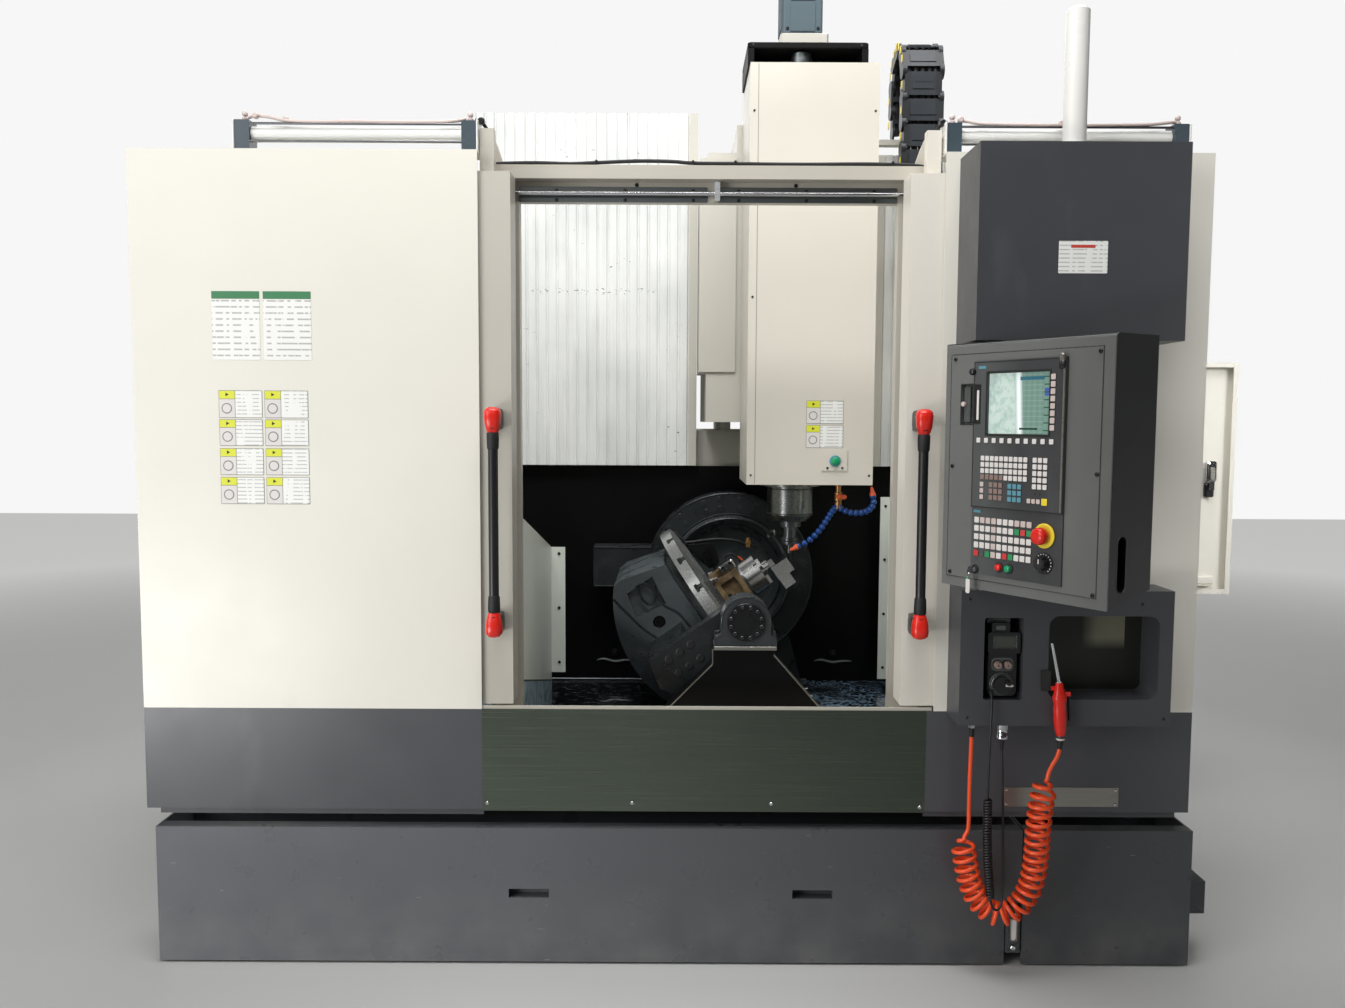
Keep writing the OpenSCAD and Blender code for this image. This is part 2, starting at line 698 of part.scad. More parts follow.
module saddle() color(cream) {
  difference() {
    span([saddle_x0, saddle_x1], [saddle_front, saddle_rear], [bed_top + 8, saddle_top]);
    for (y = x_rail_y) span([saddle_x0 - 1, saddle_x1 + 1],
      [y - seat_gap, y + rail_w + seat_gap], [bed_top - 1, rail_top + seat_gap]);
  }
  for (x = y_rail_x) span([x, x + rail_w], [saddle_front + 10, saddle_rear - 10],
    [saddle_top, saddle_top + rail_h]);
  for (p = [[saddle_x0 - post_w, left_bellows_top], [saddle_x1, right_bellows_top]]) {
    span([p[0], p[0] + post_w], [bellows_y, saddle_front], [bellows_low, p[1]]);
    span([p[0], p[0] + post_w], [saddle_front, x_rail_y[0] - 10], [bellows_low, saddle_top]);
  }
}

module column() color(cream) {
  difference() {
    union() {
      span([column_x0, column_x1], [column_front, column_rear - 200], [column_low, column_top]);
      prism_x(column_x0, column_x1, [[column_rear - 200, column_low], [column_rear, column_low],
        [column_rear, column_low + 500], [column_rear - 200, column_top]]);
    }
    span([column_x0 + 60, column_x1 - 60], [column_front + 120, column_rear + 1],
      [column_low + 140, column_top - 160]);
    span([column_x0 - 1, head_x0 - 20], [column_front - 1, column_rear + 1], [shoulder_z, column_top + 1]);
  }
  span([column_x0 - 27, column_x0], [column_front - 8, column_front + 340], [1783, 2577]);
  span([column_x0, head_x0 - 20], [column_front - 8, column_front], [1783, 2577]);
  for (x = z_rail_x) span([x, x + rail_w], [column_front - 18, column_front], [column_low + 10, column_top - 10]);
  // Carrier of the energy chain's fixed end
  span([column_x1, chain_x[1]], [chain_back_y() - 20, chain_back_y() + 20],
    [chain_back_low - chain_t / 2 - 20, chain_back_low - chain_t / 2]);
}

function chain_back_y() = chain_front_y + 2 * chain_bend;

// Pivots of the energy chain in Y and Z, from the head over the bend to the column
function chain_pivots() = concat(
  [for (z = [chain_low : link_pitch : chain_turn_z - 20]) [chain_front_y, z]],
  [for (a = [0 : 45 : 180])
    [chain_front_y + chain_bend * (1 - cos(a)), chain_turn_z + chain_bend * sin(a)]],
  [for (z = [chain_turn_z - link_pitch : -link_pitch : chain_back_low + 20]) [chain_back_y(), z]],
  [[chain_back_y(), chain_back_low]]);

// Neighbouring links have their side plates one inside the other, joined by a pin
module chain_link(p, q, inset) {
  half = chain_t / 2;
  length = norm(q - p);
  sides = [chain_x[0] + inset, chain_x[1] - inset - chain_plate];
  translate([0, p[0], p[1]]) rotate([atan2(q[1] - p[1], q[0] - p[0]), 0, 0]) {
    for (x = sides) {
      span([x, x + chain_plate], [0, length], [4 - half, half - 4]);
      rod_x(0, 0, x, x + chain_plate, half);
      rod_x(length, 0, x, x + chain_plate, half);
    }
    // Inner crossbar and outer lid
    span([sides[0] + chain_plate, sides[1]], [0.4 * length, 0.6 * length], [4 - half, 10 - half]);
    span([sides[0] + chain_plate, sides[1]], [0.07 * length, 0.93 * length], [half - 9, half - 4]);
    span([sides[0] + 28, sides[1] - 20], [0.3 * length, 0.7 * length], [half - 4, half - 1]);
    for (x = [chain_x[0] + 2, chain_x[1] - 2 * chain_plate + 1]) rod_x(0, 0, x, x + 2 * chain_plate - 3, 9);
  }
}

module energy_chain() color(black) {
  pivots = chain_pivots();
  for (i = [0 : len(pivots) - 2])
    chain_link(pivots[i], pivots[i + 1], i % 2 * (chain_plate + seat_gap));
}

module head_box() color(cream) {
  difference() {
    span([head_x0, head_x1], [head_front, head_rear], [head_bottom, head_top]);
    for (x = z_rail_x) span([x - seat_gap, x + rail_w + seat_gap],
      [column_front - 18 - seat_gap, head_rear + 1], [head_bottom - 1, head_top + 1]);
    rod_z(spindle_x, spindle_y, head_bottom - 1, head_bottom + 40, rotor_r + 30);
    rod_y(clamp_at[0], clamp_at[1], head_front - 1, head_front + 14, clamp_r + run_fit);
  }
  // Plate round the tool clamp button
  difference() {
    span([519, 606], [head_front - 4, head_front], [1429, 1500]);
    rod_y(clamp_at[0], clamp_at[1], head_front - 5, head_front + 1, clamp_r + run_fit);
  }
  // Arm to the moving end of the energy chain
  span([head_x1, chain_x[1]], [chain_front_y - 20, chain_front_y + 20],
    [chain_low - chain_t / 2 - 30, chain_low - chain_t / 2 - seat_gap]);
}

module spindle_housing() color(steel) {
  difference() {
    union() {
      rod_z(spindle_x, spindle_y, nose_z + 22, head_bottom, nose_r);
      translate([spindle_x, spindle_y, nose_z]) cylinder(r1 = nose_r - 20, r2 = nose_r, h = 22);
      rod_z(spindle_x, spindle_y, head_bottom - 14, head_bottom, nose_r + 26);
      rod_z(spindle_x, spindle_y, head_bottom, head_bottom + 40, rotor_r + 30);
    }
    rod_z(spindle_x, spindle_y, nose_z - 1, head_bottom + 41, rotor_r + run_fit);
  }
}

module head_motor() color(black) {
  mx = (head_x0 + head_x1) / 2 - 24;
  difference() {
    span([mx - 200, mx + 210], [spindle_y - 150, spindle_y + 150], [head_top, motor_z]);
    span([mx - 54, mx + 24], [spindle_y - 151, spindle_y - 60], [head_top + 20, motor_z - 14]);
  }
  rod_z(mx - 15, spindle_y - 100, head_top + 20, motor_z - 14, 34);
  difference() {
    span([mx - 80, mx + 80], [spindle_y - 80, spindle_y + 80], [motor_z, motor_top]);
    for (x = [mx - 81, mx + 67], y = [spindle_y - 81, spindle_y + 67])
      span([x, x + 14], [y, y + 14], [motor_z + 30, motor_top - 30]);
    for (i = [0 : 5]) span([mx - 81, mx - 74], [spindle_y - 60 + i * 22, spindle_y - 50 + i * 22],
      [motor_z + 30, motor_top - 30]);
  }
}

// Point on a chain of straight steps, and the tube swept along it
function unit(v) = v / norm(v);
function xyz(p) = [p[0], p[1], p[2]];
function heading(r, i) =
  unit(xyz(r[min(i + 1, len(r) - 1)]) - xyz(r[max(i - 1, 0)]));
function side_of(d) = unit(cross(d, abs(d[1]) > 0.9 ? [1, 0, 0] : [0, 1, 0]));
module tube(route, sides) {
  n = len(route);
  rings = [for (i = [0 : n - 1]) let (d = heading(route, i), a = side_of(d), b = cross(d, a))
    for (k = [0 : sides - 1])
      xyz(route[i]) + route[i][3] * (cos(360 * k / sides) * a + sin(360 * k / sides) * b)];
  walls = [for (i = [0 : n - 2], k = [0 : sides - 1]) let (m = (k + 1) % sides)
    each [[i * sides + k, (i + 1) * sides + k, (i + 1) * sides + m],
      [i * sides + k, (i + 1) * sides + m, i * sides + m]]];
  caps = [[for (k = [0 : sides - 1]) k], [for (k = [sides - 1 : -1 : 0]) (n - 1) * sides + k]];
  polyhedron(rings, concat(walls, caps));
}

// Segmented coolant hose: beads along a cubic curve
function bezier(p, t) = pow(1 - t, 3) * p[0] + 3 * t * pow(1 - t, 2) * p[1]
  + 3 * t * t * (1 - t) * p[2] + pow(t, 3) * p[3];
module bead_hose(p, beads) {
  route = [for (i = [0 : 2 * beads]) concat(bezier(p, i / (2 * beads)), [i % 2 == 0 ? 8 : 11])];
  tube(route, 10);
}

module coolant_hoses() color([0.10, 0.25, 0.55]) {
  y = spindle_y - 130;
  // Valve under the head, and the two hoses with their nozzles
  rod_z(588, y, 1312, head_bottom, 9);
  rod_z(588, y, 1322, 1348, 13);
  rod_x(y, 1335, 588, 612, 7);
  rod_z(588, y, 1294, 1314, 12);
  bead_hose([[592, y, 1302], [556, y, 1296], [544, y, 1196], [450, y, 1158]], 11);
  tube([[458, y, 1163, 10], [446, y, 1154, 10], [428, y, 1134, 4]], 10);
  bead_hose([[586, y, 1302], [622, y, 1262], [732, y, 1266], [710, y, 1336]], 10);
  tube([[713, y, 1329, 10], [709, y, 1338, 10], [702, y, 1352, 5]], 10);
}

module clamp_button() color([0.05, 0.55, 0.40])
  rod_y(clamp_at[0], clamp_at[1], head_front - 14, head_front + 8, clamp_r);

module spindle_rotor() color(steel) {
  rod_z(spindle_x, spindle_y, nose_z - 4, head_bottom + 30, rotor_r);
  rod_z(spindle_x, spindle_y, nose_z - 22, nose_z - 4, 40);
  rod_z(spindle_x, spindle_y, tool_tip + 46, nose_z - 22, holder_r - 4);
  rod_z(spindle_x, spindle_y, tool_tip + 34, tool_tip + 60, holder_r);
  rod_z(spindle_x, spindle_y, tool_tip, tool_tip + 34, cutter_r);
}

// Cradle frame: origin on the tilt axis, +Z along the table's normal
module in_cradle() translate([tilt_x, 0, tilt_z]) rotate([0, tilt, 0]) children();

module belly_outline() intersection() {
  circle(r = belly_r, $fn = 96);
  polygon([[-245, belly_top], [-287, belly_top - 150], [-262, -460], [262, -460],
    [287, belly_top - 150], [245, belly_top]]);
}

module cradle() color(casting) in_cradle() {
  difference() {
    union() {
      translate([0, belly_y1, 0]) rotate([90, 0, 0]) linear_extrude(belly_y1 - belly_y0) belly_outline();
      // Front arm and trunnion
      rod_y(0, 0, pillow_y0 + 2, arm_y0, trunnion_r);
      rod_y(0, 0, arm_y0, arm_y1, arm_boss_r);
      prism_y(arm_y0, arm_y1, [[-52, 0], [-52, -330], [40, -352], [120, -300], [arm_boss_r, 0]]);
      prism_y(arm_y1, belly_y0, [[-52, -205], [-52, -330], [40, -352], [120, -300], [120, -205]]);
      // Rear arm and journal
      prism_y(belly_y1, drive_y0 - 8, [[-150, belly_top - 30], [-150, -330], [150, -330],
        [150, belly_top - 30]]);
      rod_y(0, 0, table_y + table_r + 8, drive_y1 - 8, journal_r);
      translate([0, table_y, belly_top]) cylinder(r = 236, h = table_under - seat_gap - belly_top);
    }
    // Dished journal
    translate([0, table_y + table_r + 7, 0]) rotate([-90, 0, 0])
      cylinder(r1 = journal_r - 14, r2 = journal_r - 66, h = 90);
    // Recess, rib pockets and plug hole of the belly's front face
    translate([0, belly_y0 + 16, 0]) rotate([90, 0, 0]) linear_extrude(17)
      polygon([[-236, -196], [-236, -300], [-150, -322], [-132, -210]]);
    rod_y(-92, -266, belly_y0 - 1, belly_y0 + 30, 22);
    for (z = [-190, -232, -274], x = [-20, 34]) rod_y(x, z, arm_y0 - 1, arm_y0 + 26, 8);
    // Mouth of the C-axis drive
    translate([0, table_y, belly_top - 60]) cylinder(r = 120, h = 200);
  }
}

module rotary_table() color(steel) in_cradle() translate([0, table_y, 0]) difference() {
  union() {
    translate([0, 0, table_under]) cylinder(r = table_r, h = table_t, $fn = 128);
    translate([0, 0, belly_top - 50]) cylinder(r = 120 - run_fit, h = table_under - belly_top + 50);
  }
  for (i = [0 : slot_count - 1]) rotate([0, 0, i * 360 / slot_count]) {
    translate([150, -9, table_face - 24]) cube([table_r, 18, 30]);
    translate([150, -15, table_face - 26]) cube([table_r, 30, 12]);
  }
  translate([0, 0, table_face - 30]) cylinder(r = 25, h = 40);
}

module fixture() color([0.55, 0.48, 0.38]) in_cradle() translate([0, table_y, table_face]) {
  translate([-95, -95, 0]) cube([190, 190, 22]);
  difference() {
    translate([-70, -78, 22]) cube([140, 156, 98]);
    for (y = [-79, 60]) translate([-50, y, 40]) cube([100, 19, 60]);
  }
  translate([-92, -30, 22]) cube([22, 60, 70]);
  difference() {
    translate([0, 0, 120]) cylinder(r = 68, h = 70);
    for (a = [0, 120, 240]) rotate([0, 0, a]) translate([30, -9, 176]) cube([60, 18, 20]);
  }
  for (a = [0, 120, 240]) rotate([0, 0, a]) translate([24, -9, 176]) cube([34, 18, 26]);
}

module workpiece() color([0.82, 0.82, 0.83]) in_cradle() translate([0, table_y, 0]) {
  translate([0, 0, table_face + 190]) cylinder(r = 23, h = 34);
  translate([8, -42, table_face + 224]) cube([52, 84, 68]);
  translate([60, -30, table_face + 226]) cube([44, 60, 44]);
  translate([-18, -26, table_face + 224]) cube([26, 52, 20]);
}

// Pendant frame: u along its face, v into its depth, z up
module in_pendant() translate([pivot_x, pivot_y, 0]) rotate([0, 0, turned])
  translate([-pivot_u, -pivot_v, 0]) children();

module pendant_housing() color(dark_grey) in_pendant() difference() {
  union() {
    prism_x(0, pendant_w, [[0, pendant_bottom + 6], [pendant_d, pendant_bottom + 46],
      [pendant_d, pendant_top], [8, pendant_top], [0, pendant_top - 8]]);
    span(plate_u, [-plate_rise, 0], plate_z);
  }
  rod_z(pivot_u, pivot_v, pendant_bottom - 1, pendant_top + 1, post_r + run_fit);
  span(display_u, [-plate_rise - 1, 22], [panel_z[0], display_z[1]]);
  span(slot_u, [-plate_rise - 1, 14], slot_z);
  // Grip slot in the free side
  for (z = grip_z) rod_x(grip_v, z, pendant_w - 40, pendant_w + 1, grip_r);
  span([pendant_w - 40, pendant_w + 1], [grip_v - grip_r, grip_v + grip_r], grip_z);
}

// Field of short-stroke keys, counted from its upper left key's centre
module key_field(u, z, columns, rows, pitch, key, rise) {
  for (i = [0 : columns - 1], j = [0 : rows - 1])
    translate([u + i * pitch[0] - key / 2, -rise - 2, z - j * pitch[1] - key / 2]) cube([key, 2, key]);
}

module button_bore(at, r) rod_y(at[0], at[1], -panel_rise - 1, 23, r + run_fit);

module display_unit() color(black) in_pendant() difference() {
  union() {
    span(display_u, [-display_rise, 22], display_z);
    span(display_u, [-panel_rise, 22], [panel_z[0], display_z[0]]);
    key_field(362, 1710, 1, 8, [18, 17.8], 13, display_rise);
    key_field(130, 1551.5, 10, 1, [25.7, 1], 12, display_rise);
    key_field(146, 1505, 10, 4, [15.4, 16.2], 11, display_rise);
    key_field(313.5, 1505, 3, 5, [16, 16.5], 11, display_rise);
    key_field(145, 1437, 1, 3, [1, 16.5], 11, display_rise);
    key_field(175.5, 1437, 3, 3, [15.4, 16.5], 11, display_rise);
    key_field(237, 1436, 3, 3, [15.4, 16.5], 11, display_rise);
    key_field(298, 1402.5, 3, 1, [14.4, 1], 10, display_rise);
    key_field(346, 1402.5, 1, 1, [1, 1], 16, display_rise);
    key_field(127, 1342, 10, 5, [19, 22], 14, panel_rise);
    rod_y(estop_at[0], estop_at[1], -panel_rise - 3, -panel_rise, 30);
    rod_y(override_at[0], override_at[1], -panel_rise - 2, -panel_rise, 27);
  }
  span(screen_u, [-display_rise - 1, 6 - display_rise], screen_z);
  button_bore(estop_at, 13);
  button_bore(override_at, 6);
  button_bore(start_at, 9);
  button_bore(stop_at, 9);
  button_bore(key_at, 7);
  translate([0, -5, 0]) button_bore(estop_at, 13);
  translate([0, -5, 0]) button_bore(override_at, 6);
}

module estop_button() color(orange_red) in_pendant() {
  rod_y(estop_at[0], estop_at[1], -panel_rise - 14, 14, 13);
  translate([estop_at[0], -panel_rise - 14, estop_at[1]]) rotate([90, 0, 0]) cylinder(r1 = 20, r2 = 17, h = 16);
}

module override_knob() color(black) in_pendant() {
  front = panel_rise + 2.4;
  rod_y(override_at[0], override_at[1], -front, 18, 6);
  difference() {
    rod_y(override_at[0], override_at[1], -front - 17, -front, 17);
    for (a = [0 : 45 : 315])
      rod_y(override_at[0] + 20 * cos(a), override_at[1] + 20 * sin(a), -front - 18, -front - 5, 5);
  }
}

module push_button(at, tint) color(tint) in_pendant() rod_y(at[0], at[1], -panel_rise - 9, 12, 9);
module start_button() push_button(start_at, [0.1, 0.75, 0.3]);
module stop_button() push_button(stop_at, orange_red);

module key_switch() color(steel) in_pendant() {
  rod_y(key_at[0], key_at[1], -panel_rise - 6, 14, 7);
  span([key_at[0] - 1.5, key_at[0] + 1.5], [-panel_rise - 30, -panel_rise - 6], [key_at[1] - 9, key_at[1] + 9]);
}

module handwheel_unit() color(black) {
  difference() {
    union() {
      rounded_cut([882, 972], [-122, -15], [958, 1018], 8);
      rounded_cut([893, 943], [-118, -15], [1010, 1044], 6);
      rounded_cut([886, 964], [-116, -15], [838, 966], 14);
    }
    span([898, 962], [-123, -120], [974, 1008]);
    rod_y(dial_at[0], dial_at[1], -117, -90, 6 + run_fit);
  }
  for (x = [910, 937]) {
    rod_y(x, 927, -119, -116, 13);
    rod_y(x, 927, -131, -119, 9);
  }
}

module handwheel_dial() color(dark_grey) {
  rod_y(dial_at[0], dial_at[1], -119, -94, 6);
  rod_y(dial_at[0], dial_at[1], -124, -119, dial_r);
  rod_y(dial_at[0], dial_at[1], -134, -124, dial_r - 5);
  rod_y(dial_at[0] + 14, dial_at[1] + 8, -144, -134, 6);
}

// Gun frame: origin at the hose end, +Z along its body
module in_gun() translate(gun_low) rotate([0, -gun_lean, 0]) children();

module air_gun() color(orange_red) in_gun() {
  cylinder(r = 9, h = 16);
  translate([0, 0, 14]) cylinder(r1 = 12, r2 = 14, h = 20);
  translate([0, 0, 34]) cylinder(r = 14, h = 68);
  translate([0, 0, 102]) cylinder(r1 = 14, r2 = 16.5, h = 8);
  translate([0, 0, 110]) cylinder(r = 16.5, h = 12);
  translate([0, 0, 122]) cylinder(r1 = 13, r2 = 8.5, h = gun_length - 122);
  translate([0, 0, gun_length - 4]) rotate([0, -nozzle_lean, 0]) {
    cylinder(r = 7, h = 12);
    cylinder(r = 4, h = 118);
  }
  // Ears and pin of the trigger
  for (y = [-8, 5.2]) translate([6, y, trigger_pin[1] - 9]) cube([trigger_pin[0] - 3, 2.8, 12]);
  rod_y(trigger_pin[0], trigger_pin[1], -8, 8, 2);
  // Hanger on the console's front
  translate([-44, 14, 132]) cube([26, gun_hook() - 14, 56]);
  translate([-20, 6, 134]) cube([22, 12, 12]);
}
function gun_hook() = -console_d - gun_y;

module gun_trigger() color(black) in_gun() difference() {
  union() {
    translate([trigger_pin[0] - 2, -5, 50]) cube([4, 10, trigger_pin[1] - 50]);
    rod_y(trigger_pin[0], trigger_pin[1], -5, 5, 5);
  }
  rod_y(trigger_pin[0], trigger_pin[1], -6, 6, 2 + run_fit);
}

module air_hose() color(orange_red) tube(hose_route, 10);
module handwheel_cable() color(black) tube(cable_route, 8);

// Door of the electrical cabinet, swung open a quarter turn
module cabinet_door() color(cream) {
  x = [elec_door_x, elec_door_x + elec_width];
  y0 = elec_hinge_y + 2;
  y1 = y0 + elec_door_t;
  z = [elec_bottom, elec_top];
  lock_x = x[1] - 85;
  difference() {
    span(x, [y0, y1], z);
    span([x[0] + 3, x[1] - 3], [y0 - 1, y1 - 3], [z[0] + 3, z[1] - 3]);
    rod_y(lock_x, 1400, y0, y1 + 1, 14 + run_fit);
  }
  for (s = [[x[0] + 3, x[0] + 18], [x[1] - 18, x[1] - 3]]) span(s, [y0, y0 + 2], [z[0] + 3, z[1] - 3]);
  span([x[0] + 150, x[1] - 60], [y0 + 2, y1 - 3], [z[0] + 30, z[0] + 34]);
  for (h = knuckle_z) difference() {
    union() {
      rod_z(elec_hinge_x, elec_hinge_y, h + 0.5, h + knuckle_h, knuckle_r);
      span([elec_hinge_x, x[0]], [y0, elec_hinge_y + knuckle_r], [h + 0.5, h + knuckle_h]);
    }
    rod_z(elec_hinge_x, elec_hinge_y, h, h + knuckle_h + 1, hinge_pin_r + run_fit);
  }
}

module cabinet_lock() color(steel) {
  x = elec_door_x + elec_width - 85;
  y1 = elec_hinge_y + 2 + elec_door_t;
  rod_y(x, 1400, y1 - 26, y1 + 6, 14);
  span([x - 14, x + 14], [y1 + 6, y1 + 20], [1330, 1460]);
  span([x - 10, x + 10], [y1 - 32, y1 - 26], [1345, 1420]);
}

placed() base_casting();
placed() levelling_feet();
placed() chip_tank();
placed() coolant_tank();
placed() skirts();
placed() kick_panel();
placed() left_front_panel();
placed() right_front_panel();
placed() side_panels();
placed() header_frame();
placed() door_guide_rods();
placed() inner_walls();
placed() back_wall();
placed() chamber_floor();
placed() upper_cabinet();
placed() signal_tower();
placed() console_box();
placed() pendant_post();
placed() electrical_cabinet();
placed() door_cylinders();
placed() pedestal();
placed() pillow_block();
placed() bearing_cover();
placed() tilt_drive();
placed() left_bellows();
placed() right_bellows();
placed() left_door();
placed() left_door_glass();
placed() left_handle();
placed() right_door();
placed() right_door_glass();
placed() right_handle();
placed() saddle();
placed() column();
placed() energy_chain();
placed() head_box();
placed() spindle_housing();
placed() head_motor();
placed() coolant_hoses();
placed() clamp_button();
placed() spindle_rotor();
placed() cradle();
placed() rotary_table();
placed() fixture();
placed() workpiece();
placed() pendant_housing();
placed() display_unit();
placed() estop_button();
placed() override_knob();
placed() start_button();
placed() stop_button();
placed() key_switch();
placed() handwheel_unit();
placed() handwheel_dial();
placed() air_gun();
placed() gun_trigger();
placed() air_hose();
placed() handwheel_cable();
placed() cabinet_door();
placed() cabinet_lock();
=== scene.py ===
import math
import bpy
import numpy as np
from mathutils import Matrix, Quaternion, Vector


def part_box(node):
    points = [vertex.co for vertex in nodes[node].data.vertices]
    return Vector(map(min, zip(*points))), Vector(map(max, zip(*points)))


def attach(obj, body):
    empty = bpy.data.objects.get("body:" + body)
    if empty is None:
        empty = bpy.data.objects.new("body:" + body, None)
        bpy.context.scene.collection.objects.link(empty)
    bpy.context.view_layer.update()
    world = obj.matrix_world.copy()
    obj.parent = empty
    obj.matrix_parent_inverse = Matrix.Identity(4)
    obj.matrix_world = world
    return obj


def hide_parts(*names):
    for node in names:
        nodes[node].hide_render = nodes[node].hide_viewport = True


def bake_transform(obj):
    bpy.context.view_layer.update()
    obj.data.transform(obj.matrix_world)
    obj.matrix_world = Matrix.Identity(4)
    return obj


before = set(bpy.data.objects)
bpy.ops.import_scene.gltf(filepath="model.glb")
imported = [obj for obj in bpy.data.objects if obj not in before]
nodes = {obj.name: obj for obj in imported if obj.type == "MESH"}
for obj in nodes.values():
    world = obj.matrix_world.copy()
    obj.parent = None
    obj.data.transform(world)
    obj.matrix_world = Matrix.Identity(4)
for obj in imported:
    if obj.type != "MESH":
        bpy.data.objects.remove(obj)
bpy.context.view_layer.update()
print("frame loaded:", len(nodes), "nodes")

# The machine's own millimetres: x = 0 is the enclosure's centre, y = 0 the front panels' plane
enclosureLeft = -1525
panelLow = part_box("left_front_panel")[0]
originShift = Vector((panelLow.x - enclosureLeft / 1000, panelLow.y, 0))


def place(x, y, z):
    return Vector((x, y, z)) / 1000 + originShift


def placeAll(points):  # the same for an array of points
    return np.asarray(points, float) / 1000 + np.array(originShift)


def newObject(name, data):
    obj = bpy.data.objects.new(name, data)
    bpy.context.scene.collection.objects.link(obj)
    return obj


# shader wires

class Wire:
    def __init__(self, net, socket):
        self.net, self.socket = net, socket

    def maths(self, operation, other):
        return self.net.add("ShaderNodeMath", {"operation": operation}, (self, other))

    def __add__(self, other): return self.maths("ADD", other)
    def __radd__(self, other): return self.maths("ADD", other)
    def __sub__(self, other): return self.maths("SUBTRACT", other)
    def __rsub__(self, other): return self.net.add("ShaderNodeMath", {"operation": "SUBTRACT"}, (other, self))
    def __mul__(self, other): return self.maths("MULTIPLY", other)
    def __rmul__(self, other): return self.maths("MULTIPLY", other)
    def __gt__(self, other): return self.maths("GREATER_THAN", other)
    def __lt__(self, other): return self.maths("LESS_THAN", other)
    def __mod__(self, other): return self.maths("FLOORED_MODULO", other)

    def band(self, low, high):  # 1 between low and high
        return (self > low) * (self < high)

    def ramp(self, low, high, toLow=0.0, toHigh=1.0):  # straight line between two values, held outside them
        return self.net.add("ShaderNodeMapRange", {"clamp": True}, {"Value": self, "From Min": low, "From Max": high,
                                                                   "To Min": toLow, "To Max": toHigh})


class Net:
    def __init__(self):
        self.material = bpy.data.materials.new("paint")
        self.material.use_nodes = True
        self.tree = self.material.node_tree
        self.shader = self.tree.nodes["Principled BSDF"]
        self.coords = None

    def add(self, kind, settings=None, values=(), out=0):
        node = self.tree.nodes.new(kind)
        for key, value in (settings or {}).items():
            setattr(node, key, value)
        items = values.items() if isinstance(values, dict) else enumerate(values)
        for key, value in items:
            self.feed(node.inputs[key], value)
        return Wire(self, node.outputs[out])

    def feed(self, socket, value):
        if isinstance(value, Wire):
            self.tree.links.new(value.socket, socket)
        else:
            socket.default_value = (*value, 1) if isinstance(value, tuple) and len(value) == 3 and \
                socket.type == "RGBA" else value

    def set(self, **values):
        for key, value in values.items():
            self.feed(self.shader.inputs[key.replace("_", " ")], value)
        return self

    def at(self):  # object coordinates, in metres
        if self.coords is None:
            self.coords = self.add("ShaderNodeTexCoord", out="Object")
        return self.coords

    def axes(self):  # the machine's millimetres
        split = self.add("ShaderNodeSeparateXYZ", {}, [self.at()]).socket.node
        return [(Wire(self, split.outputs[i]) - originShift[i]) * 1000 for i in range(3)]

    def noise(self, scale, detail=2.0, stretch=(1, 1, 1), roughness=0.5):
        coords = self.at()
        if stretch != (1, 1, 1):
            coords = self.add("ShaderNodeMapping", {}, {"Vector": coords, "Scale": stretch})
        return self.add("ShaderNodeTexNoise", {}, {"Vector": coords, "Scale": scale, "Detail": detail,
                                                   "Roughness": roughness})

    def specks(self, scale, size):  # round spots at the cell points of a Voronoi pattern
        return self.add("ShaderNodeTexVoronoi", {}, {"Vector": self.at(), "Scale": scale}).ramp(size, size * 0.7)

    def mix(self, factor, a, b):
        return self.add("ShaderNodeMix", {"data_type": "RGBA"}, {0: factor, 6: a, 7: b}, out=2)

    def colour(self):  # what feeds Base Color so far
        return Wire(self, self.shader.inputs["Base Color"].links[0].from_socket)

    def over(self, factor, rgb):  # a colour laid over what is there; a function of x, y and z may say how far
        factor = factor(*self.axes()) if callable(factor) else factor
        return self.set(Base_Color=self.mix(factor, self.colour(), linear(*rgb)))

    def bump(self, height, strength, distance):
        return self.set(Normal=self.add("ShaderNodeBump", {}, {"Strength": strength, "Distance": distance,
                                                               "Height": height}))


def linear(*rgb):  # colours are written as seen, 0 to 255
    c = np.array(rgb) / 255
    return tuple(float(v) for v in np.where(c <= 0.04045, c / 12.92, ((c + 0.055) / 1.055) ** 2.4))


def paint(rgb, roughness, grain, depth, spread=0.06, metallic=0.0, **more):
    net = Net()
    tone = linear(*rgb)
    dark = tuple(v * (1 - spread) for v in tone)
    net.set(Base_Color=net.mix(net.noise(2.3, 4).ramp(0.35, 0.65), dark, tone), Metallic=metallic,
            Roughness=net.noise(9, 3).ramp(0.3, 0.7, roughness - 0.04, roughness + 0.05), **more)
    net.bump(net.noise(grain, 3), 0.35, depth)
    return net


def creamPaint(rgb):  # powder coat, a little grimy towards its foot, with a few dark specks
    net = paint(rgb, 0.36, 420, 0.00022, 0.03)
    x, y, z = net.axes()
    net.over(net.noise(5, 6, (1, 1, 0.25)).ramp(0.52, 0.78) * z.ramp(980, 770) * 0.3, (150, 145, 130))
    net.over(net.specks(9, 0.012) * 0.5, (120, 116, 104))
    return net


def innerPaint():  # coolant lies on the left wall's foot, under a sloping line
    net = creamPaint((236, 241, 232))
    x, y, z = net.axes()
    height, left = z + y * 0.24, (x < 0) * (y < 964)
    net.over((height < 846) * left, (176, 200, 210))
    net.over((height < 846) * left * net.noise(24, 4).ramp(0.45, 0.6) * 0.7, (84, 100, 108))
    net.over(height.band(843, 849) * left, (70, 76, 74))
    return net


def greyPaint(rgb, roughness=0.4):  # textured powder coat, paler where it has been rubbed
    net = paint(rgb, roughness, 900, 0.0003, 0.06)
    net.over(net.noise(7, 6, (1, 1, 0.4)).ramp(0.6, 0.8) * 0.1, (150, 152, 154))
    return net


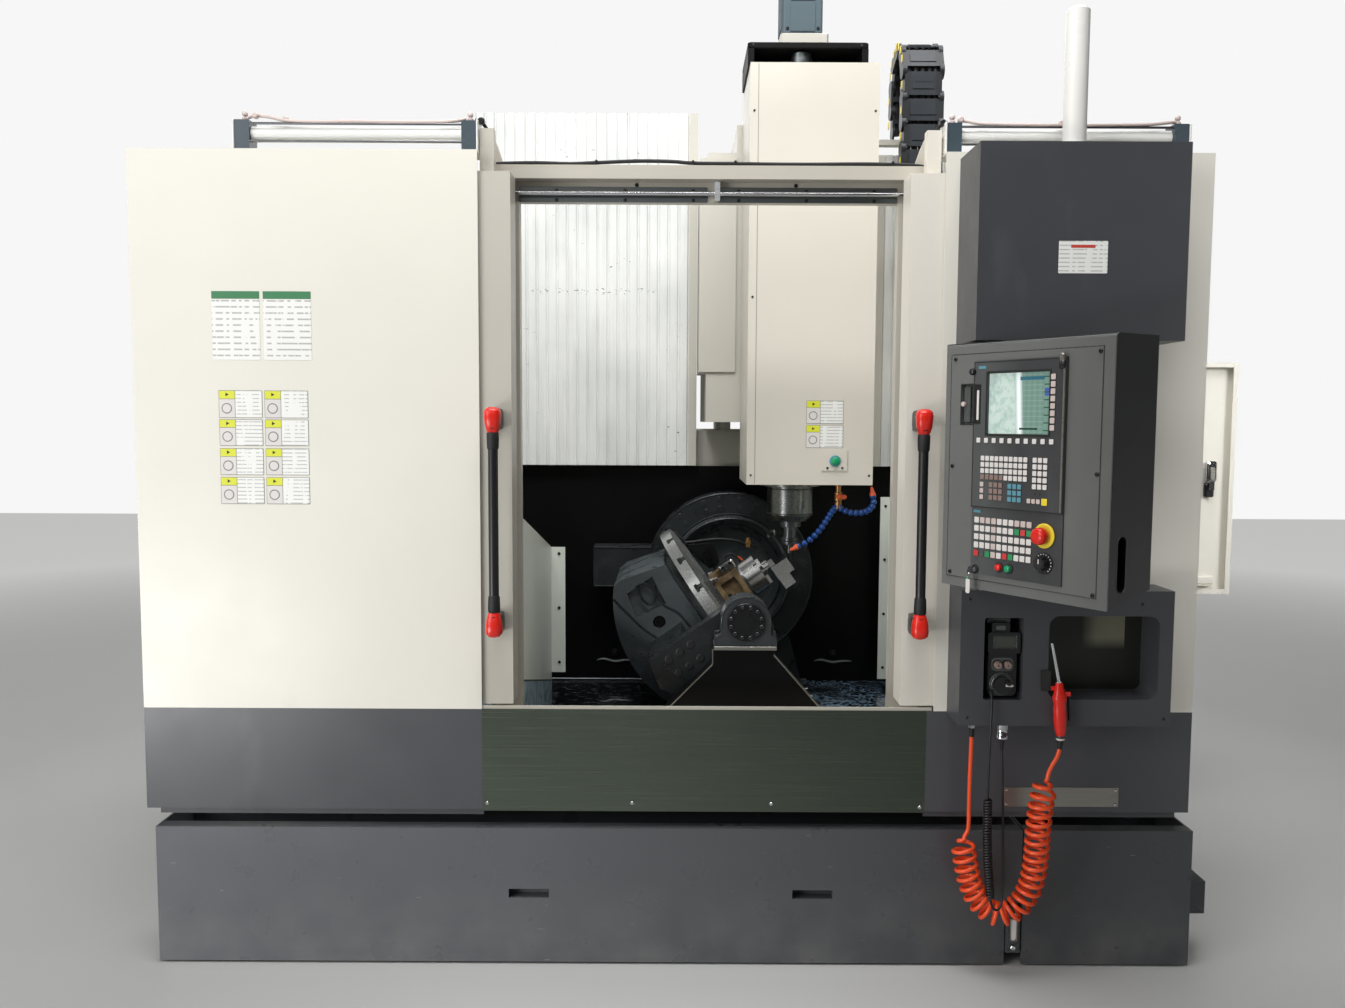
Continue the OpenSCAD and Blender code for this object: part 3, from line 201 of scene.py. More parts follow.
def tankPaint():  # smoother, dusty towards the floor, scuffed and scratched, and darker to the right as painted shade
    net = paint((92, 94, 98), 0.3, 600, 0.0002, 0.05)
    x, y, z = net.axes()
    # painted shade: darker to the right, where the light from the left falls off
    net.over(x.ramp(-500, 950), (67, 69, 72))
    net.over(net.noise(8, 5).ramp(0.35, 0.75) * z.ramp(260, 40) * 0.22, (150, 148, 140))
    net.over(net.noise(14, 2, (1, 1, 9)).ramp(0.745, 0.765) * 0.45, (170, 172, 172))
    net.over(net.noise(26, 2, (7, 1, 1)).ramp(0.765, 0.78) * 0.35, (150, 152, 152))
    return net


def castingPaint(rgb):  # oil-wet enamel on a casting
    net = paint(rgb, 0.3, 60, 0.0012, 0.25)
    wet = net.noise(16, 5).ramp(0.45, 0.62)
    net.set(Roughness=wet.ramp(0, 1, 0.46, 0.2), Coat_Weight=wet * 0.2, Specular_IOR_Level=0.3)
    net.over(net.specks(70, 0.05) * net.noise(5, 3).ramp(0.55, 0.7) * 0.6, (130, 138, 140))
    return net


def blackSheet(rgb, splash):  # wet black sheet with dried splashes
    net = paint(rgb, 0.32, 80, 0.0004, 0.2, Specular_IOR_Level=0.15)
    net.over(net.specks(90, 0.10) * net.noise(3, 3).ramp(0.56, 0.72) * splash, (120, 126, 132))
    return net


def chamberFloorPaint():  # a standing film of coolant, foamy towards the right front corner; the strip left of the tray is painted pale as painted light on the wet floor
    net = paint((15, 16, 18), 0.2, 60, 0.0006, 0.3)
    x, y, z = net.axes()
    swirl = net.noise(30, 3)
    foam = swirl.ramp(0.43, 0.48) * swirl.ramp(0.57, 0.52) * net.noise(5, 3).ramp(0.3, 0.5)
    net.over(foam * x.ramp(480, 560) * (y > 880) * 0.8, (120, 146, 168))
    net.over(net.noise(34, 4).ramp(0.55, 0.66) * (x < 480) * 0.3, (110, 120, 126))
    # painted light: the wet strip left of the tray painted pale and bluish
    net.over((x < -519) * net.noise(9, 3).ramp(0.3, 0.6, 0.55, 0.95), (142, 160, 168))
    net.set(Coat_Weight=0.5)
    return net


def brushed(rgb, along, roughness=0.24, depth=0.00012):  # fine lines along one axis
    net = Net()
    stretch = tuple(3.0 if i == along else 260.0 for i in range(3))
    lines = net.noise(1.0, 3, stretch, 0.7)
    tone = linear(*rgb)
    net.set(Base_Color=net.mix(lines.ramp(0.3, 0.7), tuple(v * 0.82 for v in tone), tone), Metallic=1.0,
            Roughness=lines.ramp(0.3, 0.7, roughness - 0.05, roughness + 0.08))
    net.bump(lines, 0.2, depth)
    return net


def turnedSteel(rgb, roughness=0.22, metallic=1.0):
    net = Net()
    fine = net.noise(300, 2)
    tone = linear(*rgb)
    net.set(Base_Color=net.mix(net.noise(12, 4).ramp(0.3, 0.7), tuple(v * 0.8 for v in tone), tone), Metallic=metallic,
            Roughness=fine.ramp(0.3, 0.7, roughness - 0.06, roughness + 0.08))
    net.bump(fine, 0.15, 0.0001)
    return net


def plastic(rgb, roughness=0.4, grain=700, depth=0.00012, **more):
    return paint(rgb, roughness, grain, depth, 0.08, **more)


def bellowsCloth():  # pale slats: grime along every fold, scattered black specks and a few smears
    net = Net()
    x, y, z = net.axes()
    net.set(Base_Color=net.mix(net.noise(3, 3).ramp(0.35, 0.65), linear(216, 218, 216), linear(232, 233, 230)),
            Roughness=0.45)
    net.over(net.noise(6, 5, (4, 1, 0.5)).ramp(0.5, 0.75) * 0.25, (170, 172, 168))
    net.over(net.specks(55, 0.085) * net.noise(2.2, 4).ramp(0.56, 0.6), (50, 52, 52))
    net.over(net.noise(30, 3, (1, 1, 3)).ramp(0.69, 0.71) * net.noise(2.6, 2).ramp(0.55, 0.6), (40, 42, 42))
    net.over(z.band(2096, 2122) * x.band(-560, -60) * net.noise(60, 3, (1, 1, 2)).ramp(0.6, 0.64) * 0.7, (70, 74, 78))
    net.bump(net.noise(240, 2), 0.2, 0.0002)
    return net


def glass():
    net = Net()
    net.set(Base_Color=linear(215, 228, 225), Transmission_Weight=1.0, IOR=1.45,
            Roughness=net.noise(40, 3).ramp(0.4, 0.8, 0.02, 0.06))
    return net


def kickSteel():  # dark mirror-like sheet, its green tint a painted reflection of a green floor, darker to the right as painted shade in that reflection, smeared upwards
    net = brushed((110, 120, 108), 0, 0.22)
    x, y, z = net.axes()
    # painted shade: darker to the right, where less light is mirrored in the sheet
    net.over(x.ramp(-100, 740) * 0.4, (52, 60, 50))
    net.over(net.noise(4, 4, (1, 1, 0.3)).ramp(0.45, 0.75) * z.ramp(600, 760) * 0.3, (66, 70, 62))
    return net


def printedCard(pitch, mark):  # white card with broken grey bars in place of any wording
    net = paint((238, 238, 234), 0.4, 300, 0.00005, 0.03)
    x, y, z = net.axes()
    bars = (z % pitch).band(pitch * 0.35, pitch * 0.62) * net.noise(1, 2, (70, 1, 9)).ramp(0.44, 0.5)
    net.over(bars * 0.6, mark)
    return net


def fixtureMetal():  # rusty block on a steel base, bright chuck above it, along the table's normal
    net = turnedSteel((196, 196, 194), 0.28)
    x, y, z = net.axes()
    n = (x - tilt["x"]) * math.sin(tilt["lean"]) + (z - tilt["z"]) * math.cos(tilt["lean"])
    block = n.band(-47, 50)
    rust = net.noise(30, 5).ramp(0.35, 0.65)
    net.set(Base_Color=net.mix(block, net.colour(), net.mix(rust, linear(84, 66, 46), linear(148, 126, 94))),
            Metallic=1 - block * 0.6, Roughness=block.ramp(0, 1, 0.25, 0.45))
    return net


def consolePaint():  # the pocket's back, the cream panel seen through it, is painted dark olive as painted shade, with a paler patch of painted light to the right
    net = greyPaint((68, 69, 73))
    x, y, z = net.axes()
    back = (y > -20) * x.band(1050, 1352) * z.band(834, 1065)
    # painted shade over the pocket's back, then a paler patch of painted light
    net.over(back, (30, 31, 25))
    net.over(back * x.ramp(1180, 1225) * (x < 1304) * z.ramp(950, 985), (128, 128, 108))
    return net


def pendantPaint():  # darker to the right, darker still on its right side and black in the grip slot there: painted shade, with the light from the left
    net = greyPaint((106, 107, 105), 0.34)
    u, v, z = pendantAxes(*net.axes())
    net.over(u.ramp(300, 522) * 0.45, (76, 75, 75))
    net.over((u > 523) * 0.75, (52, 53, 54))
    # painted shade: the grip slot's hollow painted black
    net.over((u > 400) * (u < 524) * v.band(24, 70) * z.band(1190, 1336), (7, 7, 8))
    return net


def cradlePaint():  # the front arm is darker than the belly
    net = castingPaint((76, 83, 86))
    x, y, z = net.axes()
    net.over((z + x * 0.63).ramp(830, 770) * (x < 60) * 0.75, (22, 27, 29))
    net.over((y < 590) * 0.9, (15, 17, 18))
    return net


def cabinetPaint():  # cream box, pale drives, black contactors and grey ducts on its plate
    net = paint((222, 218, 206), 0.38, 420, 0.0002, 0.04)
    x, y, z = net.axes()
    inside = x.band(1198, 1400) * y.band(440, 970)
    net.over(inside * z.band(1420, 1740), (208, 210, 208))
    net.over(inside * z.band(1420, 1740) * (z % 62).band(0, 9), (60, 62, 64))
    net.over(inside * z.band(1248, 1340), (38, 39, 42))
    net.over(inside * (z < 1240) * (x < 1275), (150, 152, 150))
    return net


def pendantAxes(x, y, z):  # distances along the pendant's face, into it and up
    a, b, c, s = x - pendant["pivot"][0], y - pendant["pivot"][1], math.cos(pendant["turn"]), math.sin(pendant["turn"])
    return a * c + b * s + pendant["inset"][0], b * c - a * s + pendant["inset"][1], z


def screenPaint():  # lit picture: pale painted reflection and a white streak of painted highlight, green page with darker columns and title bars
    net = paint((118, 146, 136), 0.12, 200, 0.00002, 0.05)
    u, v, z = pendantAxes(*net.axes())
    net.over((u % 17).band(0, 8) * u.band(262, 345) * 0.4, (92, 128, 112))
    net.over((z % 13).band(0, 3) * u.band(262, 330) * 0.25, (160, 176, 168))
    streak = u + (z - 1650) * 0.05
    pale = streak.ramp(258, 238)
    net.over(pale * 0.9, (196, 212, 206))
    net.over(net.noise(70, 4).ramp(0.5, 0.62) * pale * 0.5, (136, 176, 158))
    net.over(net.noise(24, 3).ramp(0.5, 0.66) * pale * 0.35, (92, 120, 118))
    net.over(streak.ramp(242, 250) * streak.ramp(266, 256) * 0.9, (240, 246, 246))
    net.over(u.band(256, 330) * z.band(1704, 1713), (52, 104, 120))
    net.over(u.band(256, 312) * z.band(1580, 1585), (40, 66, 60))
    net.over(u.band(332, 348) * z.band(1664, 1684), (70, 92, 160))
    net.over(u.band(330, 350) * (z % 19).band(0, 3), (50, 88, 70))
    # the glow carries the painted reflection and highlight as well
    net.set(Emission_Color=net.colour(), Emission_Strength=0.22)
    return net


tilt = {"x": 232, "z": 985, "lean": math.radians(54.8), "y": 850}
pendant = {"pivot": (870, -100), "inset": (42, 118), "turn": math.radians(-57.9)}
finishes = {
    # the left door, the head, the column and the header take darker copies of the cream as painted shade; the cabinet
    # door takes a lighter copy as painted light
    "cream": creamPaint((228, 225, 214)), "door": creamPaint((224, 219, 208)), "doorLeft": creamPaint((190, 186, 175)),
    "headPaint": creamPaint((212, 207, 195)), "column": creamPaint((198, 195, 185)), "inner": innerPaint(),
    "header": creamPaint((188, 183, 172)), "cabinetDoor": creamPaint((238, 235, 224)), "cabinet": cabinetPaint(),
    "grey": greyPaint((68, 69, 73)), "skirt": greyPaint((74, 75, 79), 0.32), "tank": tankPaint(),
    "console": consolePaint(), "pendantPaint": pendantPaint(), "cradle": cradlePaint(), "wet": chamberFloorPaint(),
    "casting": castingPaint((40, 44, 46)), "bearing": castingPaint((16, 17, 18)), "pillow": castingPaint((54, 58, 60)),
    "sheet": blackSheet((11, 11, 12), 0.35), "backSheet": blackSheet((9, 9, 10), 0.5), "kick": kickSteel(),
    "steel": turnedSteel((190, 191, 190)), "chrome": turnedSteel((215, 216, 218), 0.12),
    "darkSteel": turnedSteel((96, 98, 100), 0.3), "nose": turnedSteel((132, 134, 132), 0.26),
    "table": turnedSteel((176, 178, 176), 0.24, 0.6), "brass": turnedSteel((176, 132, 84), 0.3),
    "plate": brushed((168, 166, 158), 0, 0.3), "rail": brushed((120, 126, 126), 0, 0.34), "fixture": fixtureMetal(),
    "bellows": bellowsCloth(), "glass": glass(), "screen": screenPaint(), "notice": printedCard(17, (120, 122, 122)),
    "card": printedCard(11, (140, 142, 142)), "black": plastic((24, 24, 26), 0.34),
    "rubber": plastic((22, 22, 23), 0.6, 300, 0.0003), "blue": plastic((24, 70, 140), 0.32),
    "orange": plastic((226, 96, 52), 0.35), "red": plastic((224, 40, 28), 0.25), "green": plastic((20, 156, 100), 0.3),
    "white": plastic((236, 235, 230), 0.3), "hose": plastic((248, 88, 42), 0.24),
    "lemon": plastic((222, 226, 60), 0.5), "yellow": plastic((240, 214, 60), 0.35),
    "cardEdge": plastic((128, 128, 124), 0.5),
    "cardGreen": plastic((58, 128, 84), 0.45), "cardRed": plastic((200, 70, 60), 0.45),
    "keyWhite": plastic((224, 219, 215), 0.45), "keyPink": plastic((206, 190, 184), 0.45),
    "keyBrown": plastic((142, 120, 112), 0.45), "keyTeal": plastic((92, 148, 164), 0.45),
    "keyRed": plastic((206, 62, 62), 0.4), "keyGreen": plastic((44, 148, 92), 0.4),
    "display": plastic((58, 62, 54), 0.12),
    # red handle with a blackened steel clip behind it, the black motor bridge made darker still as painted shade under
    # a blue-grey motor, slate chain lids
    "gun": plastic((224, 40, 28), 0.25).over(lambda x, y, z: y > -141, (34, 35, 34)),
    "motor": paint((9, 9, 10), 0.5, 500, 0.0003, 0.1, Specular_IOR_Level=0.15).over(
        lambda x, y, z: z > 2934, (84, 98, 104)),
    "chain": plastic((36, 39, 43), 0.42).over(lambda x, y, z: x.band(860, 949), (46, 51, 56)),
    # paler towards the left, where the hall is mirrored in it
    "bezel": greyPaint((60, 61, 63), 0.3).over(lambda x, y, z: pendantAxes(x, y, z)[0].ramp(262, 150) * 0.35,
                                               (104, 110, 108)),
    # white tubes between slate end blocks
    "cylinder": paint((238, 238, 234), 0.25, 300, 0.0001, 0.04).over(
        lambda x, y, z: x.band(-1234, -1190) + x.band(-595, -551) + x.band(771, 815) + x.band(1410, 1454),
        (66, 78, 86)),
}
for finish, made in finishes.items():
    made.material.name = finish
slotOf = {finish: slot for slot, names in {
    "white_plastic": "card cardEdge cardGreen cardRed keyPink keyTeal keyWhite keyRed lemon notice yellow",
    "black_plastic": "bezel black chain keyBrown rubber", "machined_steel": "bearing brass darkSteel steel",
    "stainless": "chrome plate rail", "bright_steel": "white", "clear_glass": "display screen",
    "red_plastic": "orange red", "green_plastic": "green keyGreen", "blue_plastic": "blue", "orange_hose": "hose",
    "grey_paint": "pendantPaint", "casting_paint": "casting", "cream_paint": "cabinetDoor",
    "black_motor": "column motor"}.items() for finish in names.split()}
nodeFinish = {
    "cream": "left_front_panel right_front_panel side_panels", "column": "saddle column", "header": "header_frame",
    "door": "right_door", "doorLeft": "left_door", "headPaint": "head_box", "cabinet": "electrical_cabinet",
    "cabinetDoor": "cabinet_door", "inner": "inner_walls", "cradle": "cradle", "sheet": "pedestal",
    "casting": "base_casting tilt_drive", "pillow": "pillow_block", "bearing": "bearing_cover",
    "tank": "chip_tank coolant_tank", "skirt": "skirts", "grey": "upper_cabinet", "console": "console_box",
    "pendantPaint": "pendant_housing", "bezel": "display_unit", "kick": "kick_panel", "cylinder": "door_cylinders",
    "steel": "workpiece levelling_feet", "table": "rotary_table", "nose": "spindle_housing", "chain": "energy_chain",
    "darkSteel": "spindle_rotor", "chrome": "door_guide_rods pendant_post key_switch cabinet_lock", "gun": "air_gun",
    "fixture": "fixture", "backSheet": "back_wall", "wet": "chamber_floor", "bellows": "left_bellows right_bellows",
    "glass": "left_door_glass right_door_glass", "motor": "head_motor", "blue": "coolant_hoses", "hose": "air_hose",
    "black": "left_handle right_handle override_knob handwheel_unit handwheel_dial gun_trigger handwheel_cable",
    "red": "estop_button stop_button", "green": "start_button clamp_button", "white": "signal_tower",
}
for finish, names in nodeFinish.items():
    for name in names.split():
        piece = nodes[name].data
        piece.materials.clear()
        piece.materials.append(finishes[finish].material)
print("finishes on", sum(len(n.split()) for n in nodeFinish.values()), "nodes")

# camera, light and floor

view = {"at": (5, -3100, 1600), "focal": 1088, "width": 1345, "down": 4.41, "roll": 0.28}
studio = {"fill": 0.035, "white": 0.93, "floorX": (-14000, 14000), "floorY": (-9000, 15000), "floorTop": -1,
          "glow": 0.5, "fade": (3.5, 10)}
camera = newObject("camera", bpy.data.cameras.new("camera"))
camera.data.sensor_width = 36
camera.data.lens = 36 * view["focal"] / view["width"]
camera.data.clip_start, camera.data.clip_end = 0.1, 60
camera.location = place(*view["at"])
camera.rotation_mode = "QUATERNION"
camera.rotation_quaternion = Quaternion((1, 0, 0), math.radians(90 - view["down"])) @ \
    Quaternion((0, 0, 1), math.radians(view["roll"]))
bpy.context.scene.camera = camera
bpy.context.scene.view_settings.view_transform = "Standard"


def lamp(name, at, aim, size, power, spread=180):
    data = bpy.data.lights.new(name, "AREA")
    data.spread = math.radians(spread)
    data.shape, data.size, data.size_y, data.energy = "RECTANGLE", *size, power
    obj = newObject(name, data)
    obj.location = place(*at)
    obj.rotation_mode = "QUATERNION"
    obj.rotation_quaternion = (place(*aim) - obj.location).to_track_quat("-Z", "Y")
    return obj


lamp("keySoftbox", (-4600, -3600, 3400), (0, 300, 1300), (4.0, 3.5), 166)
lamp("frontSoftbox", (-900, -4800, 3600), (300, 300, 1500), (3.0, 2.5), 15)
lamp("topSoftbox", (300, 900, 5600), (300, 900, 0), (4.5, 4.0), 160)
lamp("chamberSoftbox", (-100, -1300, 5200), (150, 1300, 1900), (3.0, 1.6), 40, 75)
lamp("backSoftbox", (400, 5200, 4200), (0, 1400, 1500), (4.0, 2.5), 60)
lamp("doorSoftbox", (3500, -1500, 2600), (1880, 1040, 1400), (1.4, 1.4), 6, 45)
lowLamp = lamp("lowSoftbox", (-2700, -2300, 420), (-1100, 0, 420), (1.6, 0.7), 40)

world = bpy.data.worlds.new("studio")
world.use_nodes = True
bpy.context.scene.world = world
worldNodes = world.node_tree.nodes
backdrop = worldNodes["Background"]
backdrop.inputs["Color"].default_value = (1, 1, 1, 1)
rays = worldNodes.new("ShaderNodeLightPath")
strength = worldNodes.new("ShaderNodeMapRange")  # white to the camera, plain fill light to the object
strength.inputs["To Min"].default_value, strength.inputs["To Max"].default_value = studio["fill"], studio["white"]
seen = worldNodes.new("ShaderNodeMath")
seen.operation, seen.use_clamp = "ADD", True
world.node_tree.links.new(rays.outputs["Is Camera Ray"], seen.inputs[0])
world.node_tree.links.new(rays.outputs["Is Transmission Ray"], seen.inputs[1])
world.node_tree.links.new(seen.outputs[0], strength.inputs["Value"])
world.node_tree.links.new(strength.outputs[0], backdrop.inputs["Strength"])

floorMesh = bpy.data.meshes.new("studioFloor")
corners = placeAll([(x, y, studio["floorTop"]) for x in studio["floorX"] for y in studio["floorY"]])
floorMesh.from_pydata(corners.tolist(), [], [(0, 2, 3, 1)])
studioFloor = newObject("studioFloor", floorMesh)
floorNet = Net()
far = floorNet.add("ShaderNodeVectorMath", {"operation": "LENGTH"}, [floorNet.at()], out=1).ramp(*studio["fade"])
floorNet.set(Base_Color=floorNet.mix(floorNet.noise(1.5, 3), (0.62, 0.62, 0.61), (0.66, 0.66, 0.65)), Roughness=0.5,
             Emission_Color=floorNet.mix(far, (0, 0, 0), (1, 1, 0.99)), Emission_Strength=studio["glow"])
floorMesh.materials.append(floorNet.material)
unlit = bpy.data.collections.new("lowSoftboxSkips")  # the low lamp stands close to the floor and passes it by
unlit.objects.link(studioFloor)
lowLamp.light_linking.receiver_collection = unlit
unlit.collection_objects[0].light_linking.link_state = "EXCLUDE"
print("camera, lamps and floor set")

# surface makers: shapes are laid out in a face's own width, height and outward distance


def face(origin, width, height, outward, body="base"):  # the body is the one that pieces on the face ride
    return np.array(origin, float), np.array([width, height, outward], float), body


def front(y, body="base"):  # a face towards the operator
    return face((0, y, 0), (1, 0, 0), (0, 0, 1), (0, -1, 0), body)


def level(x, y, z, body="base", up=1):  # a face that looks up, or down with -1
    return face((x, y, z), (1, 0, 0), (0, 1, 0), (0, 0, up), body)


def onFace(where, points):
    return where[0] + np.asarray(points, float) @ where[1]


def link(name, verts, faces, smooth, finish, body="base", slot=None):
    mesh = bpy.data.meshes.new(name)
    verts = placeAll(verts.reshape(-1, 3))
    mesh.from_pydata(verts.tolist(), [], faces)
    mesh.calc_loop_triangles()
    tris = np.empty(len(mesh.loop_triangles) * 3, int)
    mesh.loop_triangles.foreach_get("vertices", tris)
    a, b, c = (verts - verts.mean(0))[tris.reshape(-1, 3)].transpose(1, 0, 2)
    if np.einsum("ij,ij->", a, np.cross(b, c)) < 0:  # the closed surface's volume comes out positive
        mesh.flip_normals()
    mesh.polygons.foreach_set("use_smooth", np.full(len(mesh.polygons), smooth))
    if smooth:
        mesh.set_sharp_from_angle(angle=0.6)
    mesh.materials.append(finishes[finish].material)
    mesh.update()
    obj = newObject(name, mesh)
    if body:  # a piece without a body is left unattached
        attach(obj, body)
    slot = slot or slotOf[finish]
    return obj


def gridFaces(rows, columns):  # quads of a grid whose columns close on themselves
    i, j = np.meshgrid(np.arange(rows - 1), np.arange(columns), indexing="ij")
    k = (j + 1) % columns
    low, high = i * columns, (i + 1) * columns
    return np.stack([low + j, low + k, high + k, high + j], -1).reshape(-1, 4)


def fullTurn(sides):
    return np.linspace(0, 2 * np.pi, sides, endpoint=False)


def closedFaces(rows, columns, count):  # the same for several closed tubes, with their end caps
    wall, cap = gridFaces(rows, columns), np.arange(columns)
    faces = []
    for start in range(0, count * rows * columns, rows * columns):
        faces += (wall + start).tolist()
        faces += [(cap[::-1] + start).tolist(), (cap + (rows - 1) * columns + start).tolist()]
    return faces


def tiles(name, where, rects, out, depth, corner, finish, body=None, slot=None, edge=0.3, sides=2):
    # Rounded outline of each (u0, u1, w0, w1), carried outwards through four rings; the end rings are drawn in.
    # Corner radius = corner * shorter side, drawn in by edge * (half the shorter side, or the depth)
    rects = np.atleast_2d(rects).astype(float)
    turn = np.repeat(np.arange(4), sides) * np.pi / 2 + np.tile(np.linspace(0, np.pi / 2, sides), 4)
    signs = np.repeat([[1, 1], [-1, 1], [-1, -1], [1, -1]], sides, 0)
    middle = np.stack([rects[:, 0] + rects[:, 1], rects[:, 2] + rects[:, 3]], -1)[:, None] / 2
    half = np.stack([rects[:, 1] - rects[:, 0], rects[:, 3] - rects[:, 2]], -1)[:, None] / 2
    r = half.min(-1, keepdims=True) * 2 * corner
    cut = np.minimum(half.min(-1, keepdims=True), depth) * edge
    rings = []
    for inset, far in ((1, 0 * cut), (0, cut), (0, depth - cut), (1, depth + 0 * cut)):
        outline = middle + signs * (half - cut * inset - r) + r * np.stack([np.cos(turn), np.sin(turn)], -1)
        rings.append(np.concatenate([outline, np.broadcast_to(out + far, outline.shape[:2] + (1,))], -1))
    verts = onFace(where, np.stack(rings, 1))
    return link(name, verts, closedFaces(4, 4 * sides, len(rects)), False, finish, body or where[2], slot)


def studs(name, where, points, profile, sides, finish, body=None, slot=None):
    # Profile (outward distance, radius) turned about the outward axis at each point of the face
    points = np.atleast_2d(points).astype(float)
    if points.shape[1] == 2:
        points = np.hstack([points, np.zeros((len(points), 1))])
    profile = np.array(profile, float)
    turn = fullTurn(sides)
    ring = np.stack([np.outer(profile[:, 1], np.cos(turn)), np.outer(profile[:, 1], np.sin(turn)),
                     np.repeat(profile[:, :1], sides, 1)], -1)
    verts = onFace(where, points[:, None, None] + ring)
    return link(name, verts, closedFaces(len(profile), sides, len(points)), True, finish, body or where[2], slot)


def headings(path, guide):  # unit tangents of a path and two directions square to them
    along = np.gradient(path, axis=0)
    along /= np.linalg.norm(along, axis=1, keepdims=True)
    a = np.cross(along, guide)
    a /= np.linalg.norm(a, axis=1, keepdims=True)
    return along, a, np.cross(along, a)


def sweep(name, path, radius, sides, finish, body="base", slot=None, guide=(0, 1.0, 0)):
    # Circle of the given radius carried along a path that never runs along the guide
    path = np.asarray(path, float)
    radius = np.broadcast_to(np.asarray(radius, float), (len(path),))[:, None, None]
    along, a, b = headings(path, guide)
    turn = fullTurn(sides)[None, :, None]
    verts = path[:, None] + radius * (np.cos(turn) * a[:, None] + np.sin(turn) * b[:, None])
    return link(name, verts, closedFaces(len(path), sides, 1), True, finish, body, slot)


def loft(name, where, rings, power, finish, sides=24):
    # Rings (u, w, out, half width, half depth): |a / width|^p + |b / depth|^p = 1 square to the face's height
    rings = np.array(rings, float)
    turn = fullTurn(sides)
    c, s = np.cos(turn), np.sin(turn)
    a = rings[:, 3, None] * np.sign(c) * np.abs(c) ** (2 / power)
    b = rings[:, 4, None] * np.sign(s) * np.abs(s) ** (2 / power)
    local = np.stack([rings[:, 0, None] + a, np.repeat(rings[:, 1, None], sides, 1), rings[:, 2, None] + b], -1)
    return link(name, onFace(where, local), closedFaces(len(rings), sides, 1), True, finish, where[2])


def spline(points, perStep):  # Catmull-Rom curve through the points
    points = np.array(points, float)
    p = np.vstack([2 * points[0] - points[1], points, 2 * points[-1] - points[-2]])
    t = np.linspace(0, 1, perStep, endpoint=False)[:, None]
    parts = [0.5 * (2 * b + (c - a) * t + (2 * a - 5 * b + 4 * c - d) * t ** 2 + (3 * b - a - 3 * c + d) * t ** 3)
             for a, b, c, d in zip(p[:-3], p[1:-2], p[2:-1], p[3:])]
    return np.vstack(parts + [points[-1:]])


screw = [(0, 5.6), (2.2, 5.6), (3.4, 4.4), (3.4, 2.5), (1.7, 2.3)]
smallScrew = [(0, 4.0), (1.4, 4.0), (2.2, 3.0), (2.2, 1.6), (1.2, 1.4)]


def screws(name, where, points, head=screw, finish="black"):
    studs(name, where, points, head, 14, finish, slot="stainless")


# air hose and handwheel cable

hose = {
    "tube": 6, "coil": 36, "pitch": 27, "coilFrom": 6, "coilTo": 20, "steps": 3,
    "route": [(849, -100, 757), (849, -100, 700), (849, -94, 600), (850, -90, 520), (851, -87, 460), (848, -86, 438),
              (840, -85, 422), (838, -85, 400), (845, -86, 350), (859, -88, 290), (886, -90, 234), (934, -94, 200),
              (986, -100, 220), (1017, -108, 270), (1030, -116, 328), (1033, -124, 390), (1032, -132, 440),
              (1033, -140, 500), (1035, -146, 548), (1043, -149, 590), (1048, -150, 612), (1052, -150, 632),
              (1061, -150, 652), (1072, -150, 672), (1079, -150, 696), (1081, -150, 728)],
}
cable = {
    "tube": 3.5, "coil": 13, "pitch": 8, "coilFrom": 8, "coilTo": 11, "steps": 2,
    "route": [(892, -116, 850), (892, -126, 850), (891, -138, 838), (890, -145, 820), (889, -148, 790),
              (887, -150, 740), (885, -151, 660), (884, -152, 580), (884, -152, 560), (885, -152, 460),
              (890, -152, 360), (899, -152, 268), (902, -152, 254), (909, -151, 240), (920, -149, 236),
              (930, -146, 246), (935, -142, 272), (938, -132, 350), (939, -118, 460), (938, -107, 580),
              (935, -100, 680), (935, -100, 711)],
}


def coilAlong(centre, radius, pitch, perTurn=14, growTurns=1.2):
    # Helix about a centre line: turned by 2 pi s / pitch at the length s, its radius growing in from both ends
    length = np.concatenate([[0], np.cumsum(np.linalg.norm(np.diff(centre, axis=0), axis=1))])
    turns = round(length[-1] / pitch)
    s = np.linspace(0, length[-1], turns * perTurn)
    core = np.stack([np.interp(s, length, centre[:, i]) for i in range(3)], -1)
    along, a, b = headings(core, (0, 1.0, 0))
    grow = np.clip(np.minimum(s, length[-1] - s) / (pitch * growTurns), 0, 1)
    grow = (radius * (3 * grow ** 2 - 2 * grow ** 3))[:, None]
    angle = 2 * np.pi * s[:, None] / length[-1] * turns
    return core + grow * (np.cos(angle) * a + np.sin(angle) * b)


def cordCurve(name, spec, finish):
    points = np.array(spec["route"], float)
    first, last = spec["coilFrom"], spec["coilTo"]
    lead, tail = spline(points[:first + 1], spec["steps"]), spline(points[last:], spec["steps"])
    coil = coilAlong(spline(points[first:last + 1], 12), spec["coil"] - spec["tube"], spec["pitch"])
    line = placeAll(np.vstack([lead[:-1], coil, tail[1:]]))
    curve = bpy.data.curves.new(name, "CURVE")
    curve.dimensions, curve.bevel_depth, curve.bevel_resolution = "3D", spec["tube"] / 1000, 3
    curve.use_fill_caps = True
    path = curve.splines.new("POLY")
    path.points.add(len(line) - 1)
    path.points.foreach_set("co", np.hstack([line, np.ones((len(line), 1))]).ravel())
    path.use_smooth = True
    curve.materials.append(finishes[finish].material)
    obj = newObject(name, curve)
    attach(obj, "base")
    return obj


